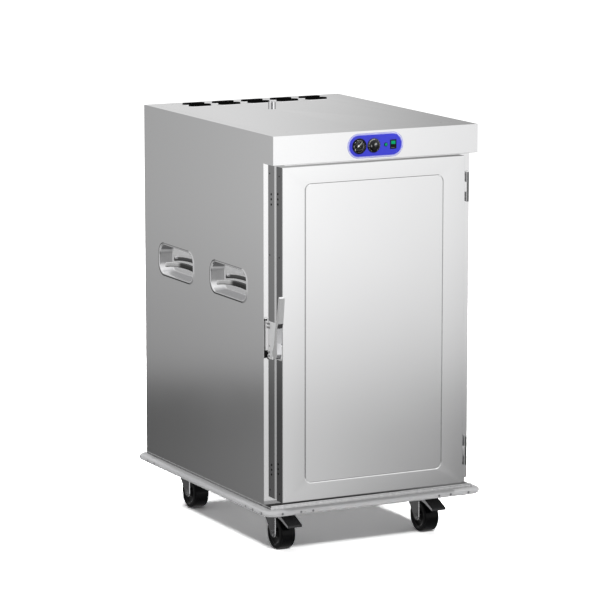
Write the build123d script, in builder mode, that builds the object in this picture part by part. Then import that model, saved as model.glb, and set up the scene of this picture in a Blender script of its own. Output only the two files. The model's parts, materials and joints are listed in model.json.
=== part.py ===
from build123d import *
import math
import os

os.makedirs("parts", exist_ok=True)

# Food warmer cabinet trolley: an insulated steel cabinet with one door, on a bumper base with four
# swivel castors. Millimetres. The door faces -Y, +X is to the right of someone facing the door, and
# z = 0 is the floor, under the middle of the whole trolley.

# Driving dimensions of the cabinet
body_width = 700.0
body_depth = 860.0
body_height = 1134.0
skin = 1.5
liner_sheet = 1.2
seam = 0.3
sheet_bend = 1.0

# Base plate and the rubbing strip round it
base_height = 24.0
base_ledge = 46.0
base_sheet = 2.0
bumper_width = 28.0
bumper_height = 18.0
bumper_drop = 7.0
bumper_corner_radius = 40.0
bumper_corner_leg_x = 133.0
bumper_corner_leg_y = 120.0

# Castors
wheel_radius = 50.0
tyre_width = 48.0
tyre_thickness = 13.0
caster_inset = 98.5
caster_front_pin = 108.0
caster_rear_pin = 133.0
caster_trail = 29.0
swivel_height = 50.0
pedal_pivot_y = -17.0
pedal_pivot_rise = 59.0
mount_plate_thickness = 4.0
mount_plate_width = 100.0
mount_plate_depth = 85.0

# Control box over the door
fascia_height = 88.0
fascia_depth = 65.5

# Raised frame round the door opening, and the heated space behind it
frame_side_inset = 15.5
frame_depth = 41.0
frame_bottom = 25.0
cavity_left = 54.0
cavity_right = 86.0
cavity_rear = 60.0
cavity_floor = 60.0
ceiling_gap = 58.0

# Door
door_left = 22.0
door_right = 54.0
door_bottom = 19.5
door_top_gap = 5.0
door_front = 82.0
door_frame_gap = 2.0
groove_margin = 74.5
groove_margin_end = 52.0
groove_width = 4.5
groove_depth = 0.8
groove_corner = 22.0

# Hinges at the right, on the door's side and the frame's front
hinge_length = 90.0
hinge_inset = 98.0
hinge_barrel_radius = 7.5
hinge_pin_radius = 3.5
hinge_offset_x = 14.0
hinge_axis_depth = 73.0
hinge_leaf = 2.5
hinge_web = 3.0
frame_leaf_width = 28.0
leaf_overhang = 8.0
leaf_front_gap = 6.0
leaf_rear_gap = 4.0
knuckle_length = 29.6

# Latch at the left
lever_reach = 99.0
lever_left = 4.0
lever_hub_radius = 16.0
lever_pivot_depth = 66.0
lever_pivot_height = 478.0
lever_grip_low = 94.0
lever_grip_high = 177.0
latch_pin_radius = 4.0
strike_drop = 24.5
strike_rise = 90.0
strike_sheet = 2.0
strike_front = 48.0

# Hand grips sunk in the two sides
cup_length = 250.0
cup_height = 94.0
cup_corner = 35.0
cup_depth = 47.0
cup_rim = 3.0
cup_rim_thickness = 1.0
cup_level = 653.5
cup_front_place = 243.0
cup_rear_place = 236.5
grip_drop = 5.0
grip_height = 26.0
grip_thickness = 14.0
grip_depth = 23.0

# Controls on the fascia, as places across and up the cabinet
label_width = 190.0
label_height = 75.0
label_thickness = 0.4
label_x = 344.5
control_rise = 43.0
gauge_x = 289.0
gauge_radius = 23.5
gauge_cup_radius = 20.5
knob_x = 338.0
knob_radius = 21.5
knob_shaft_radius = 3.0
lamp_x = 380.0
lamp_radius = 4.5
rocker_x = 405.0
rocker_width = 21.0
rocker_height = 28.0
rocker_lip = 2.0
rocker_swing = 7.0

# Top
top_return = 30.0
rear_return = 20.0
vent_count = 5
vent_pitch = 104.0
vent_length = 76.0
vent_front_width = 30.0
vent_rear_width = 22.0
vent_front_place = 118.0
vent_rear_place = 70.0
cover_screw_inset = 85.0
cover_screw_margin = 12.0
cover_screw_radius = 2.2
cover_screw_depth = 0.8
pipe_x = 313.0
pipe_y = 290.0
pipe_radius = 11.5
pipe_wall = 2.0
pipe_stub = 23.0

# Fan and heater in the roof of the heated space
fan_y = 102.0
fan_radius = 68.0
fan_height = 26.0
fan_blades = 12
fan_shaft_radius = 4.0
motor_radius = 40.0
motor_height = 58.0
heater_ring_radius = 84.0
heater_rod_radius = 4.0
guard_half = 97.0
guard_drop = 62.0

# Tray rack
post_width = 30.0
post_thickness = 12.0
post_inset = 90.0
runner_levels = 9
runner_low_gap = 110.0
runner_high_gap = 138.0
runner_ledge = 22.0
runner_leg = 16.0
runner_inset = 60.0
shelf_levels = (1, 4, 7)
shelf_inset = 75.0
shelf_rod = 4.0
shelf_cross_rod = 3.5
shelf_wire = 2.5
shelf_wires = 13

# Fits
running_gap = 0.05
swivel_gap = 0.5
face_gap = 0.3
hole_clearance = 0.25
screw_hole_gap = 0.2
beyond = 1.0

# Places worked out from the sizes above
half = body_width / 2
front = (lever_reach - bumper_width - body_depth) / 2
rear = front + body_depth
caster_height = 2 * wheel_radius + swivel_height
pedal_pivot_z = wheel_radius + pedal_pivot_rise
body_bottom = caster_height + base_height / 2
body_top = body_bottom + body_height
fascia_bottom = body_top - fascia_height
door_face = front - door_front
door_back = front - frame_depth - door_frame_gap
door_x = (door_left - half, half - door_right)
door_z = (body_bottom + door_bottom, fascia_bottom - door_top_gap)
frame_x = (frame_side_inset - half, half - frame_side_inset)
frame_z = (body_bottom + frame_bottom, fascia_bottom)
space_x = (cavity_left - half, half - cavity_right)
space_y = (front + skin, rear - cavity_rear)
space_z = (body_bottom + cavity_floor, fascia_bottom - ceiling_gap)
space_middle = (space_x[0] + space_x[1]) / 2
control_z = fascia_bottom + control_rise
fascia_face = front - fascia_depth
label_face = fascia_face - label_thickness
caster_x = half - caster_inset
caster_y = (front + caster_front_pin, rear - caster_rear_pin)
cup_centres = (front + cup_front_place, rear - cup_rear_place)
hinge_axis = (door_x[1] + hinge_offset_x, front - hinge_axis_depth)
hinge_heights = (door_z[0] + hinge_inset, door_z[1] - hinge_inset)
pivot = (front - lever_pivot_depth, body_bottom + lever_pivot_height)
pipe_place = (pipe_x - half, rear - pipe_y)
fan_place = (space_middle, space_y[1] - fan_y)
runner_pitch = (space_z[1] - space_z[0] - runner_low_gap - runner_high_gap) / (runner_levels - 1)
runner_heights = [space_z[0] + runner_low_gap + runner_pitch * level for level in range(runner_levels)]
rack_x = (space_x[0] + post_thickness, space_x[1] - post_thickness)


def facing(y):
    """An upright plane across the cabinet at this depth, drawn in x and z, looking to the front."""
    return Plane(origin=(0, y, 0), x_dir=(1, 0, 0), z_dir=(0, -1, 0))


def sideways(x):
    """An upright plane along the cabinet, drawn in y and z, looking to the right."""
    return Plane(origin=(x, 0, 0), x_dir=(0, 1, 0), z_dir=(1, 0, 0))


def block(x, y, z, mode=Mode.ADD):
    """A box between three pairs of low and high values, in the part being made."""
    with Locations(((x[0] + x[1]) / 2, (y[0] + y[1]) / 2, (z[0] + z[1]) / 2)):
        Box(x[1] - x[0], y[1] - y[0], z[1] - z[0], mode=mode)


def rod(start, direction, radius, length, mode=Mode.ADD):
    """A round rod that starts at a point and runs along a direction."""
    with Locations(Plane(origin=start, z_dir=direction)):
        Cylinder(radius, length, align=(Align.CENTER, Align.CENTER, Align.MIN), mode=mode)


def finish(piece, name):
    """Label a piece and write it to its own file."""
    piece.label = name
    export_step(piece, "parts/" + name + ".step")


def group(parts, name):
    """Several separate solids that make one node."""
    solids = [solid for part in parts for solid in part.solids()]
    finish(Compound(children=solids), name)


# Front flange: the flat ring round the door opening, the full width of the cabinet
with BuildPart() as front_flange:
    block((-half, half), (front, front + skin), (body_bottom, fascia_bottom))
    block(space_x, (front, front + skin), space_z, mode=Mode.SUBTRACT)
finish(front_flange.part, "front_flange")


def side_panel(side):
    """One side's sheet with its folded top edge and the two mouths for the hand grips."""
    outer = side * half
    inner = side * (half - skin)
    with BuildPart() as panel:
        block(sorted((inner, outer)), (front + skin, rear), (body_bottom, body_top))
        block(
            sorted((side * (half - top_return), outer)),
            (front + skin + seam, rear - rear_return - seam),
            (body_top - skin, body_top),
        )
        for centre in cup_centres:
            with BuildSketch(sideways(0)) as mouth:
                with Locations((centre, body_bottom + cup_level)):
                    RectangleRounded(cup_length, cup_height, cup_corner)
            extrude(mouth.sketch, amount=outer * 2, mode=Mode.SUBTRACT)
    return panel.part


finish(side_panel(-1), "left_side_panel")
finish(side_panel(1), "right_side_panel")

# Rear panel, with its fold over the top and the hole for the supply gland
gland_radius = 10.0
gland_inset = 120.0
gland_rise = 90.0
gland_x = half - gland_inset
gland_z = body_bottom + gland_rise
with BuildPart() as rear_panel:
    panel_x = (skin - half + seam, half - skin - seam)
    block(panel_x, (rear - skin, rear), (body_bottom, body_top))
    block(panel_x, (rear - rear_return, rear), (body_top - skin, body_top))
    rod(
        (gland_x, rear - 2 * skin, gland_z), (0, 1, 0), gland_radius + hole_clearance, 4 * skin, Mode.SUBTRACT
    )
finish(rear_panel.part, "rear_panel")

# Top cover: a plate between the folds, with five pairs of air slots, the hole for the steam pipe and
# recesses for the flush screws
vent_x = [vent_pitch * (index - (vent_count - 1) / 2) for index in range(vent_count)]
cover_screws = [
    (x, y)
    for x in (cover_screw_inset - half, 0, half - cover_screw_inset)
    for y in (front + skin + cover_screw_margin, rear - rear_return - cover_screw_margin)
]
with BuildPart() as top_cover:
    block(
        (top_return + seam - half, half - top_return - seam),
        (front + skin + seam, rear - rear_return - seam),
        (body_top - skin, body_top),
    )
    with BuildSketch(Plane.XY.offset(body_top)) as slots:
        for x in vent_x:
            with Locations((x, rear - vent_front_place)):
                SlotOverall(vent_length, vent_front_width)
            with Locations((x, rear - vent_rear_place)):
                SlotOverall(vent_length, vent_rear_width)
        with Locations(pipe_place):
            Circle(pipe_radius + hole_clearance)
    extrude(slots.sketch, amount=-skin, mode=Mode.SUBTRACT)
    for x, y in cover_screws:
        recess_radius = cover_screw_radius + screw_hole_gap
        rod((x, y, body_top), (0, 0, -1), recess_radius, cover_screw_depth, Mode.SUBTRACT)
finish(top_cover.part, "top_cover")

# Control fascia: a box open to the rear, with its holes for the controls
rocker_hole = [side - 2 * rocker_lip + 2 * hole_clearance for side in (rocker_width, rocker_height)]
with BuildPart() as control_fascia:
    block((-half, half), (fascia_face, front + skin), (fascia_bottom, body_top))
    block(
        (skin - half, half - skin),
        (fascia_face + skin, front + skin),
        (fascia_bottom + skin, body_top - skin),
        mode=Mode.SUBTRACT,
    )
    fillet(control_fascia.edges().filter_by(Axis.X).group_by(Axis.Y)[0].group_by(Axis.Z)[0], sheet_bend)
    with BuildSketch(facing(fascia_face)) as control_holes:
        with Locations((gauge_x - half, control_z)):
            Circle(gauge_cup_radius + hole_clearance)
        with Locations((knob_x - half, control_z)):
            Circle(knob_shaft_radius + hole_clearance)
        with Locations((lamp_x - half, control_z)):
            Circle(lamp_radius + hole_clearance)
        with Locations((rocker_x - half, control_z)):
            Rectangle(*rocker_hole)
    extrude(control_holes.sketch, amount=-skin, mode=Mode.SUBTRACT)
finish(control_fascia.part, "control_fascia")

# Raised frame round the door opening: a channel, open to the rear
with BuildPart() as door_frame:
    block(frame_x, (front - frame_depth, front), frame_z)
    block(space_x, (front - frame_depth, front), space_z, mode=Mode.SUBTRACT)
    with BuildSketch(facing(front)) as channel:
        with Locations(((frame_x[0] + frame_x[1]) / 2, (frame_z[0] + frame_z[1]) / 2)):
            Rectangle(frame_x[1] - frame_x[0] - 2 * skin, frame_z[1] - frame_z[0] - 2 * skin)
        with Locations((space_middle, (space_z[0] + space_z[1]) / 2)):
            Rectangle(
                space_x[1] - space_x[0] + 2 * skin, space_z[1] - space_z[0] + 2 * skin, mode=Mode.SUBTRACT
            )
    extrude(channel.sketch, amount=frame_depth - skin, mode=Mode.SUBTRACT)
finish(door_frame.part, "door_frame")

# Lining of the heated space, as six welded plates, the last one being the floor of the control space
liner_x = (space_x[0] - liner_sheet, space_x[1] + liner_sheet)
liner_z = (space_z[0] - liner_sheet, space_z[1] + liner_sheet)
liner_rear = space_y[1] + liner_sheet
terminal_angle = 20.0
terminals = [
    (
        fan_place[0] + heater_ring_radius * math.sin(math.radians(sign * terminal_angle / 2)),
        fan_place[1] - heater_ring_radius * math.cos(math.radians(sign * terminal_angle / 2)),
    )
    for sign in (-1, 1)
]
shaft_hole_gap = 3.0
shaft_hole = fan_shaft_radius + shaft_hole_gap
control_floor = fascia_bottom


def roof_holes(low, high):
    """Cut the ways for the fan shaft, the heater ends and the steam pipe through one layer."""
    for place, radius in [(fan_place, shaft_hole), (pipe_place, pipe_radius + hole_clearance)] + [
        (place, heater_rod_radius + hole_clearance) for place in terminals
    ]:
        rod((place[0], place[1], low), (0, 0, 1), radius, high - low, Mode.SUBTRACT)


with BuildPart() as liner_left:
    block((liner_x[0], space_x[0]), (front + skin, liner_rear), liner_z)
with BuildPart() as liner_right:
    block((space_x[1], liner_x[1]), (front + skin, liner_rear), liner_z)
with BuildPart() as liner_rear_plate:
    block(space_x, (space_y[1], liner_rear), liner_z)
with BuildPart() as liner_floor:
    block(space_x, space_y, (liner_z[0], space_z[0]))
with BuildPart() as liner_ceiling:
    block(space_x, space_y, (space_z[1], liner_z[1]))
    roof_holes(space_z[1], liner_z[1])
with BuildPart() as compartment_floor:
    block(liner_x, (front + skin, rear - skin), (control_floor - skin, control_floor))
    roof_holes(control_floor - skin, control_floor)
liner_sheets = (liner_left, liner_right, liner_rear_plate, liner_floor, liner_ceiling, compartment_floor)
group([p.part for p in liner_sheets], "inner_liner")

# Insulation in the two side walls, with blind pockets for the hand grips
pocket_gap = 0.4


def side_insulation(side, inner):
    """One side's slab, from the outer skin to the lining."""
    outer = side * (half - skin)
    with BuildPart() as slab:
        block(sorted((inner, outer)), (front + skin, rear - skin), (body_bottom, body_top - skin))
        depth = cup_depth + liner_sheet + pocket_gap - skin
        for centre in cup_centres:
            with BuildSketch(sideways(outer)) as pocket:
                with Locations((centre, body_bottom + cup_level)):
                    RectangleRounded(
                        cup_length + 2 * pocket_gap, cup_height + 2 * pocket_gap, cup_corner + pocket_gap
                    )
            extrude(pocket.sketch, amount=-side * depth, mode=Mode.SUBTRACT)
    return slab.part


group([side_insulation(-1, liner_x[0]), side_insulation(1, liner_x[1])], "insulation_sides")

# Insulation of the rear, floor and roof, and the bars that fill the door frame's channel
gland_pocket_gap = 4.0
gland_pocket_depth = 30.0
with BuildPart() as rear_slab:
    block(liner_x, (liner_rear, rear - skin), (body_bottom, control_floor - skin))
    rod(
        (gland_x, rear, gland_z), (0, -1, 0), gland_radius + gland_pocket_gap,
        gland_pocket_depth, Mode.SUBTRACT,
    )
with BuildPart() as floor_slab:
    block(liner_x, (front + skin, liner_rear), (body_bottom, liner_z[0]))
with BuildPart() as roof_slab:
    block(liner_x, (front + skin, liner_rear), (liner_z[1], control_floor - skin))
    roof_holes(liner_z[1], control_floor - skin)
fill_y = (front - frame_depth + skin, front)
fill_x = (frame_x[0] + skin, frame_x[1] - skin)
fill_z = (frame_z[0] + skin, frame_z[1] - skin)
with BuildPart() as fill_left:
    block((fill_x[0], space_x[0] - skin), fill_y, fill_z)
with BuildPart() as fill_right:
    block((space_x[1] + skin, fill_x[1]), fill_y, fill_z)
with BuildPart() as fill_low:
    block((space_x[0] - skin, space_x[1] + skin), fill_y, (fill_z[0], space_z[0] - skin))
with BuildPart() as fill_high:
    block((space_x[0] - skin, space_x[1] + skin), fill_y, (space_z[1] + skin, fill_z[1]))
group(
    [p.part for p in (rear_slab, floor_slab, roof_slab, fill_left, fill_right, fill_low, fill_high)],
    "insulation_panels",
)

# Hand grips: a pressed cup with a rolled rim, and a flattened tube across it
cup_parts = []
grip_parts = []
for side in (-1, 1):
    for cup_y in cup_centres:
        centre = (cup_y, body_bottom + cup_level)
        with BuildPart() as cup:
            with BuildSketch(sideways(side * half)) as rim:
                with Locations(centre):
                    RectangleRounded(cup_length + 2 * cup_rim, cup_height + 2 * cup_rim, cup_corner + cup_rim)
            extrude(rim.sketch, amount=side * cup_rim_thickness)
            with BuildSketch(sideways(side * half)) as wall:
                with Locations(centre):
                    RectangleRounded(cup_length - 2 * seam, cup_height - 2 * seam, cup_corner - seam)
            extrude(wall.sketch, amount=-side * (cup_depth + liner_sheet))
            with BuildSketch(sideways(side * (half + cup_rim_thickness))) as hollow:
                with Locations(centre):
                    RectangleRounded(
                        cup_length - 2 * seam - 2 * liner_sheet,
                        cup_height - 2 * seam - 2 * liner_sheet,
                        cup_corner - seam - liner_sheet,
                    )
            extrude(hollow.sketch, amount=-side * (cup_depth + cup_rim_thickness), mode=Mode.SUBTRACT)
        cup_parts.append(cup.part)
        grip_length = cup_length - 2 * seam - 2 * liner_sheet
        with BuildPart() as grip:
            grip_start = Plane(
                origin=(side * (half - grip_depth), centre[0] - grip_length / 2, centre[1] - grip_drop),
                x_dir=(1, 0, 0),
                z_dir=(0, 1, 0),
            )
            with BuildSketch(grip_start):
                Ellipse(grip_thickness / 2, grip_height / 2)
            extrude(amount=grip_length)
            extrude(hollow.sketch, amount=-side * cup_depth, mode=Mode.INTERSECT)
        grip_parts.append(grip.part)
group(cup_parts, "handle_cups")
group(grip_parts, "handle_grips")

# Base plate: a shallow pan upside down, with a ledge in front of the door
base_x = (-half, half)
base_y = (front - base_ledge, rear)
base_z = (body_bottom - base_height, body_bottom)
with BuildPart() as base_plate:
    block(base_x, base_y, base_z)
    block(
        (base_x[0] + base_sheet, base_x[1] - base_sheet),
        (base_y[0] + base_sheet, base_y[1] - base_sheet),
        (base_z[0], base_z[1] - base_sheet),
        mode=Mode.SUBTRACT,
    )
finish(base_plate.part, "base_plate")

# Two cross channels under the base plate, which carry the castors
channel_wall = 2.5
channel_margin = 5.0
bolt_edge = 10.0
bolt_radius = 4.0
bolt_x = mount_plate_width / 2 - bolt_edge
bolt_y = mount_plate_depth / 2 - bolt_edge
channel_half = mount_plate_depth / 2 + channel_margin
chassis = []
for y in caster_y:
    with BuildPart() as cross_channel:
        channel_z = (caster_height, base_z[1] - base_sheet)
        channel_y = (y - channel_half, y + channel_half)
        channel_x = (base_x[0] + base_sheet, base_x[1] - base_sheet)
        block(channel_x, channel_y, channel_z)
        block(
            channel_x,
            (channel_y[0] + channel_wall, channel_y[1] - channel_wall),
            (channel_z[0] + channel_wall, channel_z[1]),
            mode=Mode.SUBTRACT,
        )
        for side in (-1, 1):
            with Locations((side * caster_x, y, channel_z[0])):
                with GridLocations(2 * bolt_x, 2 * bolt_y, 2, 2):
                    Cylinder(
                        bolt_radius + hole_clearance,
                        channel_wall,
                        align=(Align.CENTER, Align.CENTER, Align.MIN),
                        mode=Mode.SUBTRACT,
                    )
    chassis.append(cross_channel.part)
group(chassis, "chassis_rails")

# Rubbing strip round the base: a half-round strip in eight lengths
bumper_z = (base_z[1] - bumper_drop - bumper_height, base_z[1] - bumper_drop)
bumper_flat = 0.2
bumper_nose = (bumper_height - bumper_flat) / 2
bumper_middle = (base_y[0] + base_y[1]) / 2
bumper_length_x = body_width + 2 * bumper_width
bumper_length_y = base_y[1] - base_y[0] + 2 * bumper_width
screw_recess = 1.0
screw_head = 2.0
screw_radius = 3.8
screw_insets_x = (55.0, 118.0, 159.0)
screw_insets_y = (37.0, 96.0, 145.0)
bumper_screws = []
for sx in (-1, 1):
    for sy in (-1, 1):
        for inset in screw_insets_x:
            place = (sx * (bumper_length_x / 2 - inset), bumper_middle + sy * bumper_length_y / 2)
            bumper_screws.append((place, (0, sy, 0)))
        for inset in screw_insets_y:
            place = (sx * bumper_length_x / 2, bumper_middle + sy * (bumper_length_y / 2 - inset))
            bumper_screws.append((place, (sx, 0, 0)))


def screw_point(place, outward, depth):
    """A point on the strip's mid height, this deep behind its nose."""
    return (place[0] - outward[0] * depth, place[1] - outward[1] * depth, (bumper_z[0] + bumper_z[1]) / 2)


with BuildPart() as whole_strip:
    with BuildSketch(Plane.XY.offset(bumper_z[0])):
        with Locations((0, bumper_middle)):
            RectangleRounded(bumper_length_x, bumper_length_y, bumper_corner_radius)
    extrude(amount=bumper_height)
    fillet(whole_strip.edges().filter_by(Plane.XY), bumper_nose)
    block(base_x, base_y, (bumper_z[0] - beyond, bumper_z[1] + beyond), mode=Mode.SUBTRACT)
    for place, outward in bumper_screws:
        deep = screw_recess + screw_head
        rod(
            screw_point(place, outward, deep), outward, screw_radius + screw_hole_gap,
            deep + beyond, Mode.SUBTRACT,
        )


def bumper_piece(x, y):
    """The part of the strip that lies between these limits in plan."""
    with BuildPart() as length:
        add(whole_strip.part)
        block(x, y, (bumper_z[0] - beyond, bumper_z[1] + beyond), mode=Mode.INTERSECT)
    return length.part


reach_x = bumper_length_x / 2
reach_y = (bumper_middle - bumper_length_y / 2, bumper_middle + bumper_length_y / 2)
cut_x = reach_x - bumper_corner_leg_x
cut_y = (reach_y[0] + bumper_corner_leg_y, reach_y[1] - bumper_corner_leg_y)
group(
    [
        bumper_piece((seam - cut_x, cut_x - seam), (reach_y[0] - beyond, base_y[0])),
        bumper_piece((seam - cut_x, cut_x - seam), (base_y[1], reach_y[1] + beyond)),
        bumper_piece((-reach_x - beyond, base_x[0]), (cut_y[0] + seam, cut_y[1] - seam)),
        bumper_piece((base_x[1], reach_x + beyond), (cut_y[0] + seam, cut_y[1] - seam)),
    ],
    "bumper_rails",
)
group(
    [
        bumper_piece(x, y)
        for x in ((-reach_x - beyond, -cut_x), (cut_x, reach_x + beyond))
        for y in ((reach_y[0] - beyond, cut_y[0]), (cut_y[1], reach_y[1] + beyond))
    ],
    "bumper_corners",
)

# Door: a front skin with folded sides, an inner panel, the insulation between them and the gasket
door_depth = (door_face, door_back)
groove_size = (door_x[1] - door_x[0] - 2 * groove_margin, door_z[1] - door_z[0] - 2 * groove_margin_end)
with BuildPart() as door_skin:
    block(door_x, door_depth, door_z)
    block(
        (door_x[0] + skin, door_x[1] - skin),
        (door_face + skin, door_back),
        (door_z[0] + skin, door_z[1] - skin),
        mode=Mode.SUBTRACT,
    )
    fillet(door_skin.edges().filter_by(Axis.Z).group_by(Axis.Y)[0], sheet_bend)
    with BuildSketch(facing(door_face)) as groove:
        with Locations(((door_x[0] + door_x[1]) / 2, (door_z[0] + door_z[1]) / 2)):
            RectangleRounded(*groove_size, groove_corner)
            RectangleRounded(
                *[length - 2 * groove_width for length in groove_size],
                groove_corner - groove_width,
                mode=Mode.SUBTRACT,
            )
    extrude(groove.sketch, amount=-groove_depth, mode=Mode.SUBTRACT)
finish(door_skin.part, "door_skin")

inside_x = (door_x[0] + skin, door_x[1] - skin)
inside_z = (door_z[0] + skin, door_z[1] - skin)
with BuildPart() as door_inner_panel:
    block(inside_x, (door_back - liner_sheet, door_back), inside_z)
finish(door_inner_panel.part, "door_inner_panel")
with BuildPart() as door_insulation:
    block(inside_x, (door_face + skin, door_back - liner_sheet), inside_z)
finish(door_insulation.part, "door_insulation")

gasket_width = 18.0
gasket_inset = 6.0
gasket_hinge_inset = 8.0
gasket_top_inset = 20.0
gasket_x = (door_x[0] + gasket_inset, door_x[1] - gasket_hinge_inset)
gasket_z = (frame_z[0] + gasket_inset, door_z[1] - gasket_top_inset)
with BuildPart() as door_gasket:
    gasket_y = (door_back, front - frame_depth - face_gap)
    block(gasket_x, gasket_y, gasket_z)
    block(
        (gasket_x[0] + gasket_width, gasket_x[1] - gasket_width),
        gasket_y,
        (gasket_z[0] + gasket_width, gasket_z[1] - gasket_width),
        mode=Mode.SUBTRACT,
    )
finish(door_gasket.part, "door_gasket")

# Hinges: the frame leaves carry the end knuckles, the door leaves the middle one and the pin
frame_face = front - frame_depth
frame_leaf_x = (hinge_axis[0] - leaf_overhang, hinge_axis[0] - leaf_overhang + frame_leaf_width)
frame_leaves = []
door_leaves = []
for z in hinge_heights:
    ends = (
        (z - hinge_length / 2, z - knuckle_length / 2 - face_gap),
        (z + knuckle_length / 2 + face_gap, z + hinge_length / 2),
    )
    with BuildPart() as frame_leaf:
        block(
            frame_leaf_x,
            (frame_face - hinge_leaf, frame_face),
            (z - hinge_length / 2, z + hinge_length / 2),
        )
        web_x = (hinge_axis[0] - hinge_web, hinge_axis[0] + hinge_web)
        for low, high in ends:
            block(web_x, (hinge_axis[1], frame_face), (low, high))
            rod((hinge_axis[0], hinge_axis[1], low), (0, 0, 1), hinge_barrel_radius, high - low)
            rod(
                (hinge_axis[0], hinge_axis[1], low), (0, 0, 1), hinge_pin_radius + running_gap, high - low,
                Mode.SUBTRACT,
            )
    frame_leaves.append(frame_leaf.part)
    middle = (z - knuckle_length / 2, z + knuckle_length / 2)
    with BuildPart() as door_leaf:
        block(
            (door_x[1], door_x[1] + hinge_leaf),
            (door_face + leaf_front_gap, door_back - leaf_rear_gap),
            (z - hinge_length / 2, z + hinge_length / 2),
        )
        web_y = (hinge_axis[1] - hinge_web, hinge_axis[1] + hinge_web)
        block((door_x[1] + hinge_leaf, hinge_axis[0]), web_y, middle)
        rod((hinge_axis[0], hinge_axis[1], middle[0]), (0, 0, 1), hinge_barrel_radius, knuckle_length)
        rod(
            (hinge_axis[0], hinge_axis[1], z - hinge_length / 2), (0, 0, 1), hinge_pin_radius, hinge_length
        )
    door_leaves.append(door_leaf.part)
group(frame_leaves, "hinge_frame_leaves")
group(door_leaves, "hinge_door_leaves")

# Strike plate: an angle on the frame's left side, beside the door's edge
strike_z = (pivot[1] - strike_drop, pivot[1] + strike_rise)
strike_x = (frame_x[0] - strike_sheet, frame_x[0])
strike_slant = (14.0, 25.0)
strike_foot = 10.0
with BuildPart() as strike_plate:
    with BuildSketch(sideways(strike_x[0])):
        with BuildLine():
            Polyline(
                (front, strike_z[0]),
                (front, strike_z[1]),
                (front - strike_front, strike_z[1]),
                (front - strike_front, strike_z[0] + strike_slant[1]),
                (front - strike_front + strike_slant[0], strike_z[0]),
                close=True,
            )
        make_face()
    extrude(amount=strike_sheet)
    block((strike_x[0] - strike_foot, strike_x[0]), (front - strike_sheet, front), strike_z)
finish(strike_plate.part, "strike_plate")

# Latch housing: a plate on the door's left edge with the pin that the lever turns on
housing_plate = 2.5
housing_size = (36.0, 50.0, 5.0)
housing_shift = (3.5, 3.0)
pin_end_gap = 2.0
lever_x = (lever_left - half, door_x[0] - face_gap)
hub_x = (lever_x[0], door_x[0] - housing_plate - face_gap)
with BuildPart() as latch_housing:
    with BuildSketch(sideways(door_x[0] - housing_plate)):
        with Locations((pivot[0] + housing_shift[0], pivot[1] + housing_shift[1])):
            RectangleRounded(*housing_size)
    extrude(amount=housing_plate)
    pin_length = hub_x[1] - hub_x[0] - pin_end_gap
    rod((door_x[0] - housing_plate, pivot[0], pivot[1]), (-1, 0, 0), latch_pin_radius, pin_length)
finish(latch_housing.part, "latch_housing")

# Latch lever: a round hub on the pin, a waisted neck, a bend and a grip that leans out to its top
grip_face = front - lever_reach
grip_top = pivot[1] + lever_grip_high
grip_low = pivot[1] + lever_grip_low
grip_lean = 10.0
grip_lip = 4.0
grip_edge = 5.0
grip_thin = 8.0
grip_thick = 11.0
bend_height = 15.0
bend_thick = 13.0
waist_rise = 32.0
waist_depth = 2.0
waist_thick = 20.0
root_place = (14.0, 6.0)
lever_cap = 1.5
neck_face = pivot[0] - lever_hub_radius
corner_centre = [size / 2 - housing_size[2] for size in housing_size[:2]]
corner_place = (corner_centre[0] - housing_shift[0], corner_centre[1] + housing_shift[1])
housing_top = pivot[1] + math.hypot(*corner_place) + housing_size[2] + face_gap
with BuildPart() as latch_lever:
    with BuildSketch(sideways(lever_x[0])) as lever_outline:
        with BuildLine():
            Polyline(
                (neck_face, pivot[1]),
                (neck_face + waist_depth, pivot[1] + waist_rise),
                (neck_face, grip_low - bend_height),
                (grip_face + grip_lean, grip_low),
                (grip_face, grip_top - grip_lip),
                (grip_face + grip_edge, grip_top),
                (grip_face + grip_thin, grip_top - grip_lip),
                (grip_face + grip_lean + grip_thick, grip_low),
                (neck_face + bend_thick, grip_low - bend_height),
                (neck_face + waist_thick, pivot[1] + waist_rise),
                (pivot[0] + root_place[0], pivot[1] + root_place[1]),
                close=True,
            )
        make_face()
    extrude(lever_outline.sketch, amount=lever_x[1] - lever_x[0])
    rod((lever_x[0], pivot[0], pivot[1]), (1, 0, 0), lever_hub_radius, lever_x[1] - lever_x[0])
    housing_room = (pivot[0] - housing_size[1], pivot[0] + housing_size[1])
    block((hub_x[1], door_x[0]), housing_room, (pivot[1] - housing_size[1], housing_top), mode=Mode.SUBTRACT)
    bore_start = (hub_x[0] + lever_cap, pivot[0], pivot[1])
    rod(bore_start, (1, 0, 0), latch_pin_radius + running_gap, hub_x[1] - hub_x[0] - lever_cap, Mode.SUBTRACT)
finish(latch_lever.part, "latch_lever")

# Controls: the blue plate, the thermometer, the knob with its thermostat, the lamp and the rocker switch
bezel_border = 3.0
bezel_inner_width = rocker_width - 2 * bezel_border
bezel_inner_height = rocker_height - 2 * bezel_border
with BuildPart() as control_label:
    with BuildSketch(facing(fascia_face)):
        with Locations((label_x - half, control_z)):
            SlotOverall(label_width, label_height)
        with Locations((gauge_x - half, control_z)):
            Circle(gauge_cup_radius + hole_clearance, mode=Mode.SUBTRACT)
        with Locations((knob_x - half, control_z)):
            Circle(knob_shaft_radius + hole_clearance, mode=Mode.SUBTRACT)
        with Locations((lamp_x - half, control_z)):
            Circle(lamp_radius + hole_clearance, mode=Mode.SUBTRACT)
        with Locations((rocker_x - half, control_z)):
            Rectangle(*rocker_hole, mode=Mode.SUBTRACT)
    extrude(amount=label_thickness)
finish(control_label.part, "control_label")

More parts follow.
